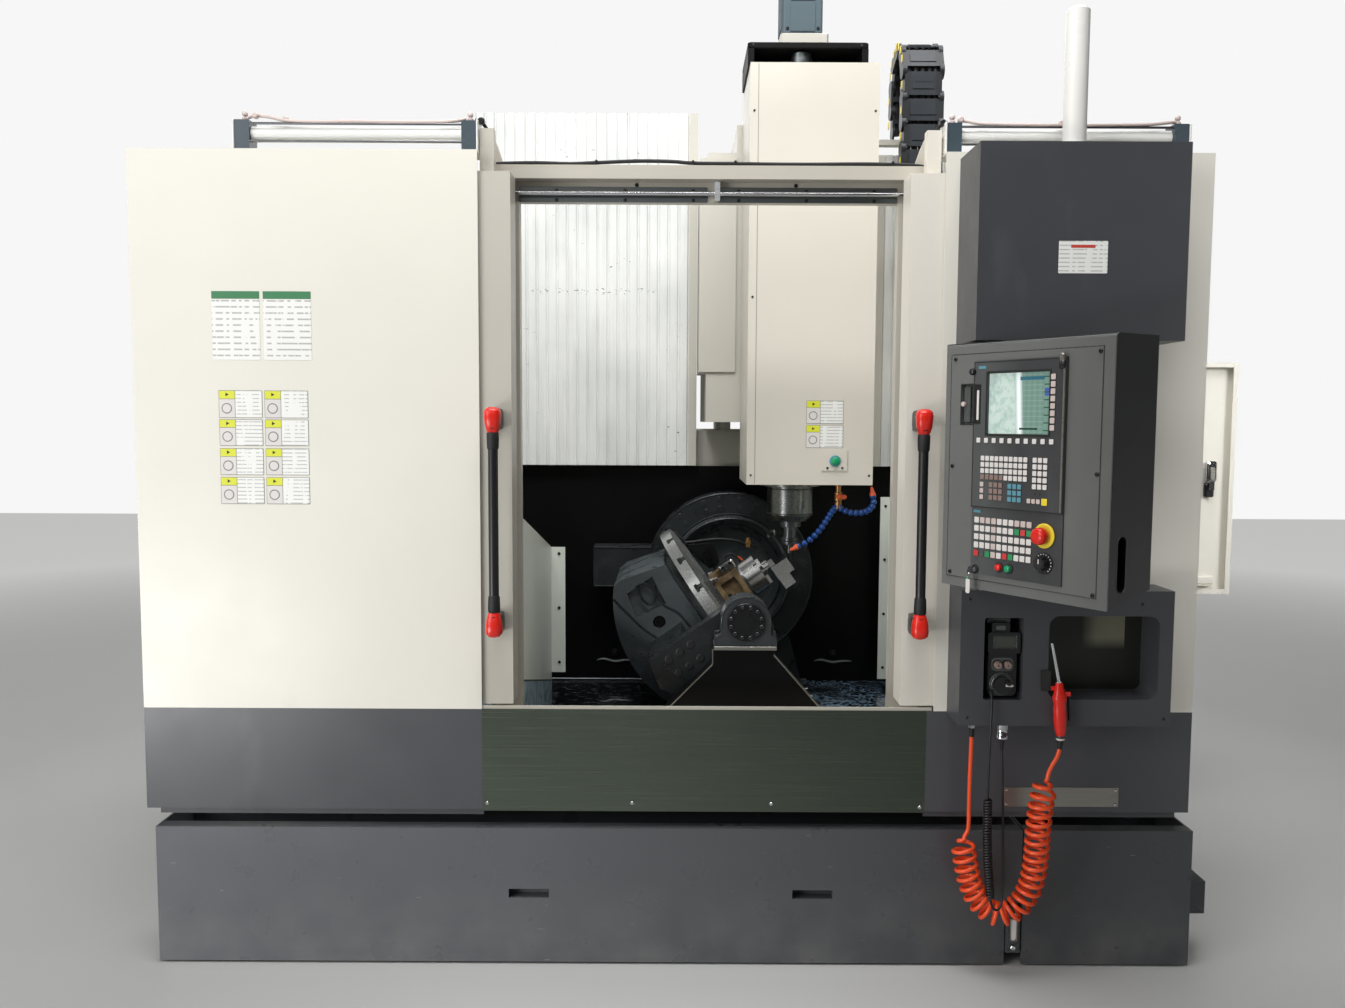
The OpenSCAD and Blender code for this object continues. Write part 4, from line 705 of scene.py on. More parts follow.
def sleeve(name, spec, start, length, thick):  # rubber relief that tapers to the cord along its first stretch
    line = spline(spec["route"][:6] if start else spec["route"][::-1][:6], 12)
    run = np.concatenate([[0], np.cumsum(np.linalg.norm(np.diff(line, axis=0), axis=1))])
    s = np.linspace(0, length, 9)
    path = np.stack([np.interp(s, run, line[:, i]) for i in range(3)], -1)
    ribs = thick * (1 - s / length) + (spec["tube"] + 0.4) * s / length + 0.5 * (np.arange(9) % 2)
    return sweep(name, path, ribs, 12, "rubber", guide=(1.0, 0, 0))


hoseRelief = sleeve("hoseRelief", hose, True, 40, 9)
gunRelief = sleeve("gunHoseRelief", hose, False, 30, 8.5)
cableRelief = sleeve("cableRelief", cable, True, 24, 6)
plugRelief = sleeve("cablePlugRelief", cable, False, 34, 7)
airHose = cordCurve("airHoseCoil", hose, "hose")
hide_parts("air_hose")
wheelCable = cordCurve("handwheelCableCoil", cable, "black")
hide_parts("handwheel_cable")
print("cords laid")

# front panels: cards, nameplate and screws

cards = {
    "notice": [(-1297, -1162, 1764, 1934), (-1152, -1017, 1764, 1934)],
    "green": [(-1297, -1162, 1935, 1956), (-1152, -1017, 1935, 1956)],
    "columns": (-1284, -1154), "rows": ((1600, 1678), (1521, 1596), (1438, 1514), (1355, 1432)), "width": 124,
    "upper": (1016, 1145, 1990, 2074), "head": ((463, 591, 1590, 1669), (463, 591, 1507, 1585)),
    "split": 0.37, "cap": 0.3, "line": 1.5,
}


def safetyCards(name, where, frames):
    # Each frame is a grey edge plate; yellow cell at its top left, picture cell below, marked field to the right
    x0, x1, z0, z1 = np.array(frames, float).T
    split, top, line = x0 + (x1 - x0) * cards["split"], z1 - (z1 - z0) * cards["cap"], cards["line"]
    tiles(name + "Edge", where, frames, 0, 0.6, 0.02, "cardEdge")
    for part, finish, cell in (("Yellow", "lemon", (x0 + line, split, top, z1 - line)),
                               ("Picture", "keyWhite", (x0 + line, split, z0 + line, top - line)),
                               ("Field", "card", (split + line, x1 - line, z0 + line, z1 - line))):
        tiles(name + part, where, np.stack(cell, -1), 0.5, 0.5, 0.02, finish)
    disc, sign = (np.stack([(x0 + split) / 2, (low + high) / 2], -1) for low, high in ((z0, top), (top, z1)))
    studs(name + "Disc", where, disc, [(0.9, 15), (1.3, 15)], 20, "cardEdge")
    studs(name + "DiscFace", where, disc, [(1.2, 12), (1.5, 12)], 20, "keyWhite")
    studs(name + "Sign", where, sign, [(0.9, 6), (1.2, 6)], 3, "black", slot="white_plastic")


tiles("noticeCards", front(0), cards["notice"], 0, 0.8, 0.01, "notice")
tiles("noticeCardHeads", front(0), cards["green"], 0, 0.9, 0.01, "cardGreen")
safetyCards("safetyCard", front(0), [(x, x + cards["width"], *z) for x in cards["columns"] for z in cards["rows"]])
upperFace = front(-200)
tiles("cabinetCard", upperFace, cards["upper"], 0, 0.8, 0.02, "card")
tiles("cabinetCardHead", upperFace, (1048, 1112, 2056, 2064), 0.7, 0.3, 0.02, "cardRed")
safetyCards("headCard", front(650, "head_body"), cards["head"])

nameplate = {"at": (973, 1310, 480, 538), "rivets": [(983, 488), (983, 530), (1300, 488), (1300, 530)]}
tiles("blankNameplate", front(0), nameplate["at"], 0, 1.5, 0.03, "plate")
studs("nameplateRivets", front(0), nameplate["rivets"], [(1.4, 4), (2.4, 3.6), (3.0, 2.2)], 14, "chrome")
screws("kickPanelScrews", front(0), [(-532, 483), (-109, 485), (297, 484), (731, 476)], screw, "chrome")
print("cards and plates made")

# header: rails, screws, the cable along its top, cylinders and their fittings

header = {
    "rails": [(-452, 104, 2240, 2284), (134, 663, 2240, 2284)],
    "screws": [(x, z) for x in (-341, -139, 62, 196, 395, 595) for z in (2273, 2246)],
    "upper": [(-105, 2290), (364, 2290)],
    "strip": [(-530, 140, 2341), (-496, 132, 2342), (-400, 130, 2344), (-300, 131, 2342), (-221, 130, 2345),
              (-100, 129, 2350), (0, 129, 2349), (60, 130, 2345), (180, 129, 2344), (300, 130, 2343),
              (420, 129, 2343), (540, 131, 2345), (640, 131, 2344), (700, 136, 2343), (745, 150, 2341)],
    "clips": [(-221, 2345), (60, 2345), (183, 2345), (640, 2345)],
}
tiles("headerRails", front(170.3), header["rails"], 0, 3, 0.06, "rail", edge=0.2)
screws("headerRailScrews", front(167.3), header["screws"], [(-0.5, 5.6), (0.4, 5.6), (0.8, 4.6), (0.8, 2.5)])
screws("headerScrews", front(170.3), header["upper"])
sweep("headerCable", spline(header["strip"], 5), 5.5, 10, "rubber")
tiles("headerCableClips", front(139), [(x - 4, x + 4, z - 9, z + 7) for x, z in header["clips"]], 0, 18, 0.3, "black")

cylinders = {
    "ends": [-1233, -552, 772, 1453], "blocks": [-1212, -573, 793, 1432],
    "tubes": [(-1200, -590), (805, 1420)], "rods": [(34, 2427), (34, 2379), (86, 2427)],
    "knob": [(0, 7), (3, 9), (10, 9), (12, 6), (16, 5), (19, 8), (24, 8.5), (29, 6), (31, 3)],
}
tops = level(0, 60, 2437)
studs("cylinderKnobs", tops, [(x, 0) for x in cylinders["blocks"]], cylinders["knob"], 14, "keyPink")
for i, x in enumerate(cylinders["ends"]):
    tiles("cylinderEnd%d" % i, face((x, 0, 0), (0, 1, 0), (0, 0, 1), ((-1) ** (i + 1), 0, 0)), (26, 94, 2352, 2440),
          0, 5, 0.06, "white")
for i, (x0, x1) in enumerate(cylinders["tubes"]):
    for j, (y, z) in enumerate(cylinders["rods"]):
        sweep("tieRod%d%d" % (i, j), np.linspace((x0, y, z), (x1, y, z), 8), 3.5, 8, "darkSteel", slot="bright_steel")
lines = {
    "left": [(-1200, 52, 2447), (-1180, 50, 2452), (-1140, 46, 2448), (-1100, 40, 2438), (-1060, 36, 2433),
             (-1000, 34, 2432), (-900, 34, 2433), (-780, 34, 2432), (-660, 34, 2433), (-610, 40, 2438),
             (-585, 52, 2446)],
    "right": [(806, 52, 2447), (830, 46, 2445), (870, 38, 2436), (960, 34, 2433), (1080, 34, 2432),
              (1220, 34, 2433), (1340, 36, 2436), (1400, 46, 2444), (1422, 54, 2447)],
    "leftDrop": [(-560, 60, 2446), (-541, 66, 2440), (-528, 74, 2420), (-524, 82, 2398), (-527, 92, 2376),
                 (-534, 104, 2358), (-540, 120, 2346)],
    "rightDrop": [(780, 60, 2446), (764, 66, 2441), (752, 74, 2424), (746, 84, 2402), (748, 96, 2380),
                  (754, 110, 2358), (758, 124, 2346)],
}
for key, points in lines.items():
    sweep("airLine" + key.capitalize(), spline(points, 5), 5, 10, "black" if "Drop" in key else "keyPink",
          slot="white_plastic")
studs("airLineJoints", front(56), [(-541, 2441), (764, 2442)], [(-12, 9), (0, 10), (8, 10), (10, 7)], 12, "black")
studs("airLineBodies", front(44), [(-1176, 2450), (-1090, 2440), (812, 2448), (1096, 2438)],
      [(-8, 7), (-2, 9), (6, 9), (9, 6)], 12, "keyPink")
print("header and door cylinders dressed")

# door handles: red caps, rubber collars and black mounts

handles = {"left": (-497, "left_door_body"), "right": (705, "right_door_body")}
capRings = [(0, -40, 0, 6, 7), (0, -34, 0, 11, 11), (0, -22, 0, 17, 17), (0, -8, 1, 21, 21), (0, 8, 2, 23, 23),
            (0, 24, 2, 24, 24), (0, 34, 2, 22.5, 22.5), (0, 41, 1, 17, 17), (0, 44, 0, 9, 10)]
mountRings = [(0, -19, -2, 14, 34), (0, -16, -2, 19, 40), (0, 0, -2, 21, 42), (0, 30, -2, 21, 42),
              (0, 38, -2, 18, 40), (0, 41, -2, 12, 34)]
for name, (x, body) in handles.items():
    for end, z, way in (("Top", 1590, 1), ("Foot", 1030, -1)):
        cap, mount = (face((x, y, z), (1, 0, 0), (0, 0, way), (0, -1, 0), body) for y in (-62, -30))
        loft(name + "HandleCap" + end, cap, capRings, 2.6, "red")
        loft(name + "HandleMount" + end, mount, mountRings, 5, "black")
        sweep(name + "HandleCollar" + end, [(x, -62, z - way * t) for t in (26, 30, 44, 70, 74)],
              (15.5, 17.5, 17.5, 16.5, 14.5), 20, "rubber", body)
print("handles capped")

# pendant: screen, keys, switches, slots and screws

turn, (pivotX, pivotY), (insetU, insetV) = pendant["turn"], pendant["pivot"], pendant["inset"]
alongU = np.array([math.cos(turn), math.sin(turn), 0])
intoV = np.array([-math.sin(turn), math.cos(turn), 0])


def pendantFace(v):  # u along the pendant's face, outwards at the depth v
    origin = np.array([pivotX, pivotY, 0]) - insetU * alongU + (v - insetV) * intoV
    return face(origin, alongU, (0, 0, 1), -intoV, "pendant_body")


plateFace, displayFace, panelFace = pendantFace(-1.5), pendantFace(-11), pendantFace(-6)
keys = {
    "keyPink": [(362, 1710 - 17.8 * i, 6.8) for i in range(8)] +
               [(145, 1437 - 16.5 * i, 6) for i in range(3)] + [(298 + 14.4 * i, 1402.5, 5.6) for i in range(3)],
    "keyWhite": [(130 + 25.7 * i, 1551.5, 6.4) for i in range(10)] +
                [(146 + 15.4 * i, 1505 - 16.2 * j, 6.2) for i in range(10) for j in range(4) if j < 3 or i > 4] +
                [(313.5 + 16 * i, 1505 - 16.5 * j, 6.2) for i in range(3) for j in range(5)],
    "keyBrown": [(146 + 15.4 * i, 1505 - 48.6, 6.2) for i in range(5)] +
                [(175.5 + 15.4 * i, 1437 - 16.5 * j, 6.2) for i in range(3) for j in range(3)],
    "keyTeal": [(237 + 15.4 * i, 1436 - 16.5 * j, 6.2) for i in range(3) for j in range(3)],
    "yellow": [(346, 1402.5, 8.6)],
}
rowTints = ("WPPPWWWPPP", "WWWPWWWGRG", "WWWPWWWWWW", "WWWPWWWWWW", "R.GPWRGWWW")
tints = {"W": "keyWhite", "P": "keyPink", "G": "keyGreen", "R": "keyRed"}


def squares(points):  # (u, z, half side) as (u0, u1, z0, z1)
    u, z, half = np.array(points, float).T
    return np.stack([u - half, u + half, z - half, z + half], -1)


def keyCaps(name, where, caps, finish):
    tiles(name, where, squares(caps), 1.2, 1.7, 0.14, finish, slot="white_plastic", edge=0.32, sides=3)


for finish, caps in keys.items():
    keyCaps("display" + finish.capitalize(), displayFace, caps, finish)
for letter, finish in tints.items():
    caps = [(127 + 19 * i, 1342 - 22 * j, 7.7) for j, row in enumerate(rowTints)
            for i, tint in enumerate(row) if tint == letter]
    keyCaps("panel" + finish.capitalize(), panelFace, caps, finish)
screen = {"glass": (156, 349, 1569, 1724), "rim": [(150, 155, 1563, 1730), (350, 355, 1563, 1730),
                                                   (155, 350, 1563, 1568), (155, 350, 1725, 1730)]}
tiles("screenPicture", pendantFace(-4.9), screen["glass"], 0, 1.0, 0.01, "screen", edge=0.2)
tiles("screenRim", displayFace, screen["rim"], 0, 1.6, 0.3, "rubber")
tiles("displayEdge", displayFace, (391, 397, 1380, 1738), 0, 3.4, 0.3, "plate")
tiles("displaySeams", displayFace, [(108, 397, 1376, 1378.4), (109, 111, 1378, 1755), (111, 390, 1753, 1755)], 0, 0.8,
      0.1, "rubber")
tiles("blankLabels", displayFace, (124, 148, 1737, 1744), 0, 0.8, 0.1, "keyTeal")
tiles("panelLabel", panelFace, (114, 138, 1361, 1368), 0, 0.8, 0.1, "keyTeal")
tiles("statusLights", displayFace, [(314, 319, 1419, 1424), (328, 333, 1419, 1424)], 0, 0.8, 0.4, "rubber")
plateEdges = [(18, 20, 1181, 1779), (492, 494, 1181, 1779), (20, 492, 1777, 1779), (20, 492, 1181, 1183)]
tiles("plateShadowLine", plateFace, plateEdges, -0.6, 0.9, 0.1, "darkSteel", slot="stainless")
screws("pendantPlateScrews", plateFace, [(34, 1766), (485, 1766), (31, 1480), (486, 1477), (31, 1193), (485, 1189)])

slots = {"left": (58, 99, 1594, 1697), "right": (112, 131, 1596, 1695)}


def frameOf(rect, wide):  # four strips round a rectangle
    u0, u1, z0, z1 = rect
    return [(u0 - wide, u0, z0 - wide, z1 + wide), (u1, u1 + wide, z0 - wide, z1 + wide), (u0, u1, z0 - wide, z0),
            (u0, u1, z1, z1 + wide)]


tiles("slotFrame", plateFace, frameOf(slots["left"], 3), 0, 1.4, 0.1, "rubber")
tiles("slotFlap", pendantFace(8), (62, 84, 1598, 1693), 0, 5, 0.08, "bezel")
tiles("slotHinge", pendantFace(10), (86, 97, 1597, 1694), 0, 5, 0.2, "darkSteel", slot="stainless")
studs("slotKnob", pendantFace(2), (66, 1646), [(0, 6), (5, 7), (8, 6), (9, 3)], 16, "keyPink", slot="bright_steel")
tiles("driveFrame", displayFace, frameOf(slots["right"], 2), 0, 1.4, 0.1, "rubber")
tiles("driveDoor", displayFace, slots["right"], 0, 0.8, 0.05, "black")
tiles("driveStrip", displayFace, (121, 128, 1604, 1682), 0.6, 1.6, 0.3, "keyWhite")
studs("lockKnob", displayFace, (106, 1730), [(0, 9), (6, 9), (10, 7), (12, 3)], 20, "black")
tiles("portBlock", displayFace, (380, 397, 1728, 1745), 0, 9, 0.2, "black")
tiles("portCap", displayFace, (382, 396, 1744, 1766), 0, 9, 0.25, "plate", slot="white_plastic")

switches = {"estop": (346, 1319), "override": (345, 1250), "start": (237, 1224), "stop": (206, 1224),
            "key": (124, 1210)}
studs("estopRing", panelFace, switches["estop"], [(2, 31), (4.4, 31), (5.6, 29.4), (5.6, 16)], 40, "yellow")
estopHead = studs("estopHead", panelFace, switches["estop"], [(-18, 12.8), (9, 12.8), (11, 19.5), (14, 21.5),
                                                              (24, 21.5), (29, 20.6), (33, 17.5), (35, 12),
                                                              (35.6, 4)], 32, "red", "estop_body")
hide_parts("estop_button")
studs("overrideScale", panelFace, switches["override"], [(1.4, 27.6), (2.5, 27.6), (2.5, 17.2)], 40, "black")
knobU, knobZ = switches["override"]
scale = {"radius": 23.4, "tick": 1.5, "first": -50, "last": 230, "step": 20}
ticks = [(knobU + scale["radius"] * math.cos(math.radians(a)), knobZ + scale["radius"] * math.sin(math.radians(a)),
          scale["tick"]) for a in range(scale["first"], scale["last"] + 1, scale["step"])]
tiles("overrideTicks", panelFace, squares(ticks), 2.3, 0.5, 0.3, "keyWhite")
studs("overrideCap", panelFace, switches["override"], [(19, 13.6), (20.5, 13.6), (21.4, 12.4)], 32, "rubber",
      "override_body")
tiles("overridePointer", panelFace, (343.6, 346.4, 1250, 1262), 21.2, 0.6, 0.2, "keyWhite", "override_body")
for key in ("start", "stop"):
    studs(key + "Collar", panelFace, switches[key], [(0, 13), (3, 13), (4, 11.5), (4, 9.3)], 24, "rubber")
for key, finish in (("start", "green"), ("stop", "red")):
    studs(key + "Dome", panelFace, switches[key], [(8.6, 8.6), (10.5, 8), (12, 6), (12.6, 2.5)], 20, finish,
          key + "_body")
studs("keyCollar", panelFace, switches["key"], [(0, 12), (4, 12), (5.5, 10), (5.5, 7.2)], 24, "black")
sweep("keyRing",
      onFace(panelFace, [(124 + 6 * math.sin(a), 1196 + 7 * math.cos(a), 26 + 2 * math.sin(a))
                         for a in np.linspace(0, 2 * math.pi, 17)[:-1]]), 0.9, 6, "chrome", "key_body", "bright_steel")
tiles("keyTags", panelFace, (114, 124, 1160, 1190), 24, 1.6, 0.2, "keyGreen", "key_body")
tiles("keyTagWhite", panelFace, (118, 132, 1148, 1186), 27, 1.4, 0.2, "keyWhite", "key_body")

gripFace = face(pendantFace(0)[0] + 525 * alongU, intoV, (0, 0, 1), alongU, "pendant_body")
grip = {"middle": 47, "radius": 17.5, "low": 1213, "high": 1314}
gripLip = [(grip["middle"] + grip["radius"] * math.cos(t),
            grip["low" if math.sin(t) < 0 else "high"] + grip["radius"] * math.sin(t), 0.2)
           for t in np.linspace(0, 2 * math.pi, 41)[:-1]]
sweep("gripSlotLip", onFace(gripFace, gripLip + gripLip[:1]), 1.2, 8, "pendantPaint", "pendant_body",
      guide=tuple(alongU))
rim = np.array([(0.6, 1157), (0.6, 1806), (524.4, 1806), (524.4, 1157), (0.6, 1157)])
for i, (a, b) in enumerate(zip(rim[:-1], rim[1:])):
    line = np.linspace(a, b, 12)
    sweep("pendantEdge%d" % i, onFace(pendantFace(1.5), np.hstack([line, np.zeros((12, 1))])), 1.3, 8, "darkSteel",
          "pendant_body", "grey_paint", guide=tuple(intoV))
print("pendant dressed")

# console: hand unit, air gun, socket and level gauge

unit = {"window": (900, 960, 976, 1006), "knobs": [(910, 927), (937, 927)], "dial": (923, 871)}
tiles("handUnitWindow", front(-119.6), unit["window"], 0, 2.0, 0.12, "display", sides=4)
tiles("handUnitWindowRim", front(-121.6), frameOf(unit["window"], 3), 0, 1.6, 0.3, "darkSteel", slot="black_plastic")
tiles("handUnitBadge", front(-117.6), (905, 931, 1024, 1036), 0, 0.8, 0.2, "bezel")
tiles("handUnitSwitchPlate", front(-115.8), (894, 956, 908, 946), 0, 1.6, 0.35, "bezel", sides=4)
studs("handUnitKnobs", front(-131), unit["knobs"], [(-10, 11), (-4, 11), (-2, 9.6), (3, 9.2), (4.4, 8), (4.4, 3.2),
                                                    (1.6, 3)], 24, "keyBrown")
studs("dialScale", front(-116), unit["dial"], [(0, 33), (1.6, 33), (2.4, 32), (2.4, 30.2)], 40, "bezel")
studs("dialRim", front(-124), unit["dial"], [(-4.6, 29.6), (-0.4, 29.6), (0.7, 28.4), (0.7, 24.5)], 40, "darkSteel",
      "dial_body", "black_plastic")
tiles("dialTick", front(-134), (930, 952, 868, 874), 0, 1.6, 0.3, "keyWhite", "dial_body")
studs("dialKnob", front(-144), (937, 879), [(-9, 6.8), (0, 7.2), (2, 6.2), (3, 3.4)], 20, "black", "dial_body")
tiles("handUnitSideGrips", front(-100), [(884, 888, 850, 950), (962, 966, 850, 950)], 0, 12, 0.3, "rubber")
tiles("recessHook", front(-40), (884, 950, 1040, 1056), 0, 60, 0.2, "bezel")
socketDown = level(935, -100, 757, up=-1)
studs("cableSocket", socketDown, (0, 0), [(0, 19), (3, 19), (4, 16.5), (16, 16.5), (17, 15), (30, 15), (32, 16.2),
                                          (44, 16.2), (46, 13.4)], 24, "chrome")
hoseDown = level(849, -100, 757, up=-1)
studs("hoseSocket", hoseDown, (0, 0), [(0, 12), (6, 12), (7, 10.4), (14, 10.4), (15, 9)], 6, "chrome")

gun = {
    "low": (1081, -150, 728), "lean": math.radians(3.1), "nozzle": math.radians(3.1 + 8.4),
    "rings": [(0, 8, 0, 11, 11), (0, 14, 0, 13, 13), (0, 24, 0, 15, 15), (-0.5, 50, 0, 17, 16.5),
              (-0.5, 84, 0, 17, 16.5), (0, 98, 0, 15.5, 15), (0, 106, 0, 18, 17.5), (0, 116, 0, 19, 18),
              (0, 124, 0, 16, 15), (0, 146, 0, 11, 10.5), (0, 156, 0, 9.5, 9.2), (0, 158, 0, 6, 6)],
}
gunUp = np.array([-math.sin(gun["lean"]), 0, math.cos(gun["lean"])])
gunWide = (math.cos(gun["lean"]), 0, math.sin(gun["lean"]))


def gunFace(distance, lean):  # square to the gun or its nozzle, at a distance up the gun
    origin = np.array(gun["low"]) + distance * gunUp
    return face(origin, (math.cos(lean), 0, math.sin(lean)), (0, 1, 0), (-math.sin(lean), 0, math.cos(lean)))


loft("gunBody", face(gun["low"], gunWide, gunUp, (0, 1, 0)), gun["rings"], 2.3, "red")
gunRingLow = gunFace(1, gun["lean"])
studs("gunRingWhite", gunRingLow, (0, 0), [(-5, 11), (-4, 12), (-1, 12), (0, 10)], 24, "keyWhite")
studs("gunRingDark", gunRingLow, (0, 0), [(0, 10.4), (1, 11.4), (7, 11.4), (8, 10)], 24, "darkSteel",
      slot="black_plastic")
studs("gunNozzle", gunFace(150, gun["nozzle"]), (0, 0), [(2, 7.8), (12, 7.6), (14, 5), (60, 4.8), (110, 4.6),
                                                         (119, 4.4), (120, 3)], 20, "chrome", slot="bright_steel")
screws("consoleScrews", front(-130), [(1302, 1100), (826, 1112), (1372, 778), (826, 780)], smallScrew)

gauge = {"plate": (993, 1028, 50, 172), "window": (1003, 1018, 84, 146)}
gaugeFace = front(-12)
tiles("gaugePlate", gaugeFace, gauge["plate"], 0, 3, 0.12, "darkSteel", slot="stainless")
tiles("gaugeGlass", gaugeFace, gauge["window"], 2.8, 3, 0.4, "keyWhite", slot="clear_glass", sides=4)
tiles("gaugeFrame", gaugeFace, frameOf(gauge["window"], 3), 2.8, 4, 0.3, "plate")
studs("gaugeScrews", gaugeFace, [(1010, 161), (1010, 61)], [(2, 8), (7, 8), (8.4, 6.6), (8.4, 3.6), (6, 3.2)], 6,
      "chrome")
print("console dressed")

# work chamber: wall screws, cradle relief, drive ring, pillow block, pedestal and floor tray

lean, tiltX, tiltZ = tilt["lean"], tilt["x"], tilt["z"]
alongA, normalN = np.array([math.cos(lean), 0, -math.sin(lean)]), np.array([math.sin(lean), 0, math.cos(lean)])


def cradleFace(y):  # a along the table, n along its normal, outwards to the operator
    return face((tiltX, y, tiltZ), alongA, normalN, (0, -1, 0), "cradle_body")


tableTop = face(np.array([tiltX, tilt["y"], tiltZ]) - 70 * normalN, alongA, (0, 1, 0), normalN, "table_body")


def circle(y, radius, first=0, last=360, count=73):  # about the tilt axis
    a = np.radians(np.linspace(first, last, count))
    return np.stack([tiltX + radius * np.cos(a), np.full(count, float(y)), tiltZ + radius * np.sin(a)], -1)


def around(radius, degrees):  # one point of it, as x and z
    a = math.radians(degrees)
    return tiltX + radius * math.cos(a), tiltZ + radius * math.sin(a)


def behind(points, y0, y1):  # points seen at the depth y0 moved along the camera's rays to the depth y1
    eye = np.array(view["at"], float)
    points = np.array([(x, y0, z) for x, z in points], float)
    return eye + (points - eye) * (y1 - eye[1]) / (y0 - eye[1])


def slab(name, outline, y0, y1, finish, body, slot):  # outline in x and z carried along y, its end rings drawn in
    outline = np.array(outline, float)
    middle = outline.mean(0)
    rings = [np.insert(middle + (outline - middle) * grow, 1, y, axis=1)
             for grow, y in ((0.985, y0), (1, y0 + 1), (1, y1 - 1), (0.985, y1))]
    return link(name, np.array(rings), closedFaces(4, len(outline), 1), False, finish, body, slot)


screws("leftFlangeScrews", front(966), [(-421, 1098), (-421, 892), (-421, 684)])
screws("rightFlangeScrews", front(1196), [(849, 1264), (849, 1051), (849, 833), (849, 616)])
ridges = {
    "Wave": [(-66, 1050), (-60, 1044), (-50, 1004), (-25, 969), (19, 945), (45, 921), (76, 884)],
    "Keystone": [(-118, 1032), (-92, 1042), (-66, 1022), (-52, 992), (-70, 968), (-96, 985), (-118, 1032)],
    "Lip": [(-196, 986), (-160, 950), (-121, 910), (-80, 876), (-42, 851), (11, 820)],
}
for key, points in ridges.items():
    sweep("bellyRidge" + key, np.insert(spline(points, 6), 1, 600.5, axis=1), 4, 8, "casting", "cradle_body")
armBolts = [(a, n) for n in (-190, -232, -274) for a in (-20, 34)]
studs("armWashers", cradleFace(300), armBolts, [(-1, 13), (1.2, 13), (1.8, 12), (1.8, 8.6)], 20, "black",
      slot="casting_paint")
studs("armBolts", cradleFace(316), armBolts, [(0, 6.6), (6, 6.6), (7, 5.6), (7, 3.2), (4, 3)], 12, "black",
      slot="machined_steel")
studs("bellyPlug", cradleFace(622), (-92, -266), [(0, 19), (6, 19), (7, 18), (7, 9), (2, 8.4)], 24, "bearing")
sweep("dishRim", circle(1170.5, 229), 4.5, 8, "darkSteel", "cradle_body")
sweep("dishStep", circle(1196, 205), 3, 8, "casting", "cradle_body")
sweep("driveRingEdge", circle(1190, 327.5), 2.6, 8, "darkSteel")
sweep("driveRingBead", circle(1189.5, 246), 3.2, 8, "casting")
ringBolts = [around(r, a) for a in (70, 82, 98, 110, 130, 142, 35, 20, 160, 200, 340) for r in (270, 306)]
studs("driveRingWashers", front(1190), ringBolts, [(-1, 11), (1, 11), (1.6, 10), (1.6, 7.4)], 16, "casting")
studs("driveRingBolts", front(1202), ringBolts, [(0, 6), (5, 6), (6, 5), (6, 3), (4, 2.8)], 10, "darkSteel")
tiles("driveClip", front(1190), (380, 412, 1138, 1170), 0, 16, 0.15, "steel")
studs("driveClipBolt", front(1174), (396, 1154), [(0, 9), (4, 9), (5.4, 7.6), (5.4, 4.4), (3, 4)], 6, "black",
      slot="machined_steel")
tiles("driveBoxEdges", front(1195), [(-308, -22, 1092, 1097), (-308, -303, 940, 1097), (-308, -22, 938, 943)], 0, 2.4,
      0.2, "casting")
hoses = {
    "Long": (behind([(-44, 1150), (-42, 1160), (-29, 1174), (9, 1174), (43, 1150), (58, 1138), (125, 1146),
                     (183, 1151), (241, 1146), (280, 1134), (329, 1122)], 1000, 1160), 6.5, "cradle_body"),
    "Loop": (behind([(52, 1147), (66, 1095), (90, 1103), (113, 1100), (151, 1086), (163, 1048), (152, 1019),
                     (133, 1010)], 900, 1150), 5, "cradle_body"),
    "Short": (behind([(194, 1074), (197, 1086), (202, 1104), (220, 1111), (244, 1100), (256, 1084)], 870, 940), 4,
              "table_body"),
    "Guard": (behind([(288, 992), (297, 993), (306, 986), (313, 966), (310, 950), (302, 938)], 190, 200), 4, "base"),
}
for key, (points, thick, body) in hoses.items():
    sweep("chamberHose" + key, spline(points, 6), thick, 10, "rubber", body)
slab("splashFlap", behind([(61, 1142), (160, 1148), (184, 1067), (142, 1052), (96, 1092)], 900, 1140)[:, [0, 2]],
     1140, 1146, "bearing", "cradle_body", "black_sheet")
studs("orangePlug", face((266, 930, 1080), (1, 0, 0), (0, 1, 0), (-0.7, 0, 0.7)), (0, 0), [(0, 6), (14, 6), (22, 3)],
      12, "orange", "table_body")
studs("brassUnion", face((300, 1120, 1120), (0, 1, 0), (1, 0, 0), (0, 0, 1)), (0, 0),
      [(-12, 9), (0, 9), (2, 12), (12, 12), (14, 8), (24, 7)], 6, "brass", "cradle_body")

coverBolts = [around(48, a) for a in range(15, 360, 30)]
studs("coverBolts", front(177), coverBolts, [(-4, 5.5), (0.6, 5.5), (1.4, 4.6), (1.4, 2.7), (-1.2, 2.5)], 12,
      "darkSteel")
studs("coverRim", front(182), (tiltX, tiltZ), [(-5, 58.6), (-0.6, 58.6), (0.6, 57.2), (0.6, 54.5)], 48, "bearing")
arch = circle(190, 75, 0, 180, 37)
pillowEdge = np.vstack([[(326, 190, 913), (326, 190, 936), (308, 190, 945)], arch, [(156, 190, 945), (138, 190, 936),
                                                                                 (138, 190, 913)]])
sweep("pillowEdge", pillowEdge, 2, 8, "casting")
tiles("pillowShim", front(184), (134, 326, 899, 910), 0, 1.6, 0.1, "plate", slot="machined_steel")
up = level(0, 240, 937)
studs("pillowFootBolts", up, [(147, 0), (317, 0)], [(0, 12), (2, 12), (2, 9.5), (12, 9.5), (13, 8)], 6, "darkSteel")
pedestalEdges = {"Left": [(131, 852), (131, 898)], "LeftLean": [(131, 850), (-184, 531)],
                 "Right": [(319, 880), (452, 728)], "RightLean": [(452, 728), (624, 531)]}
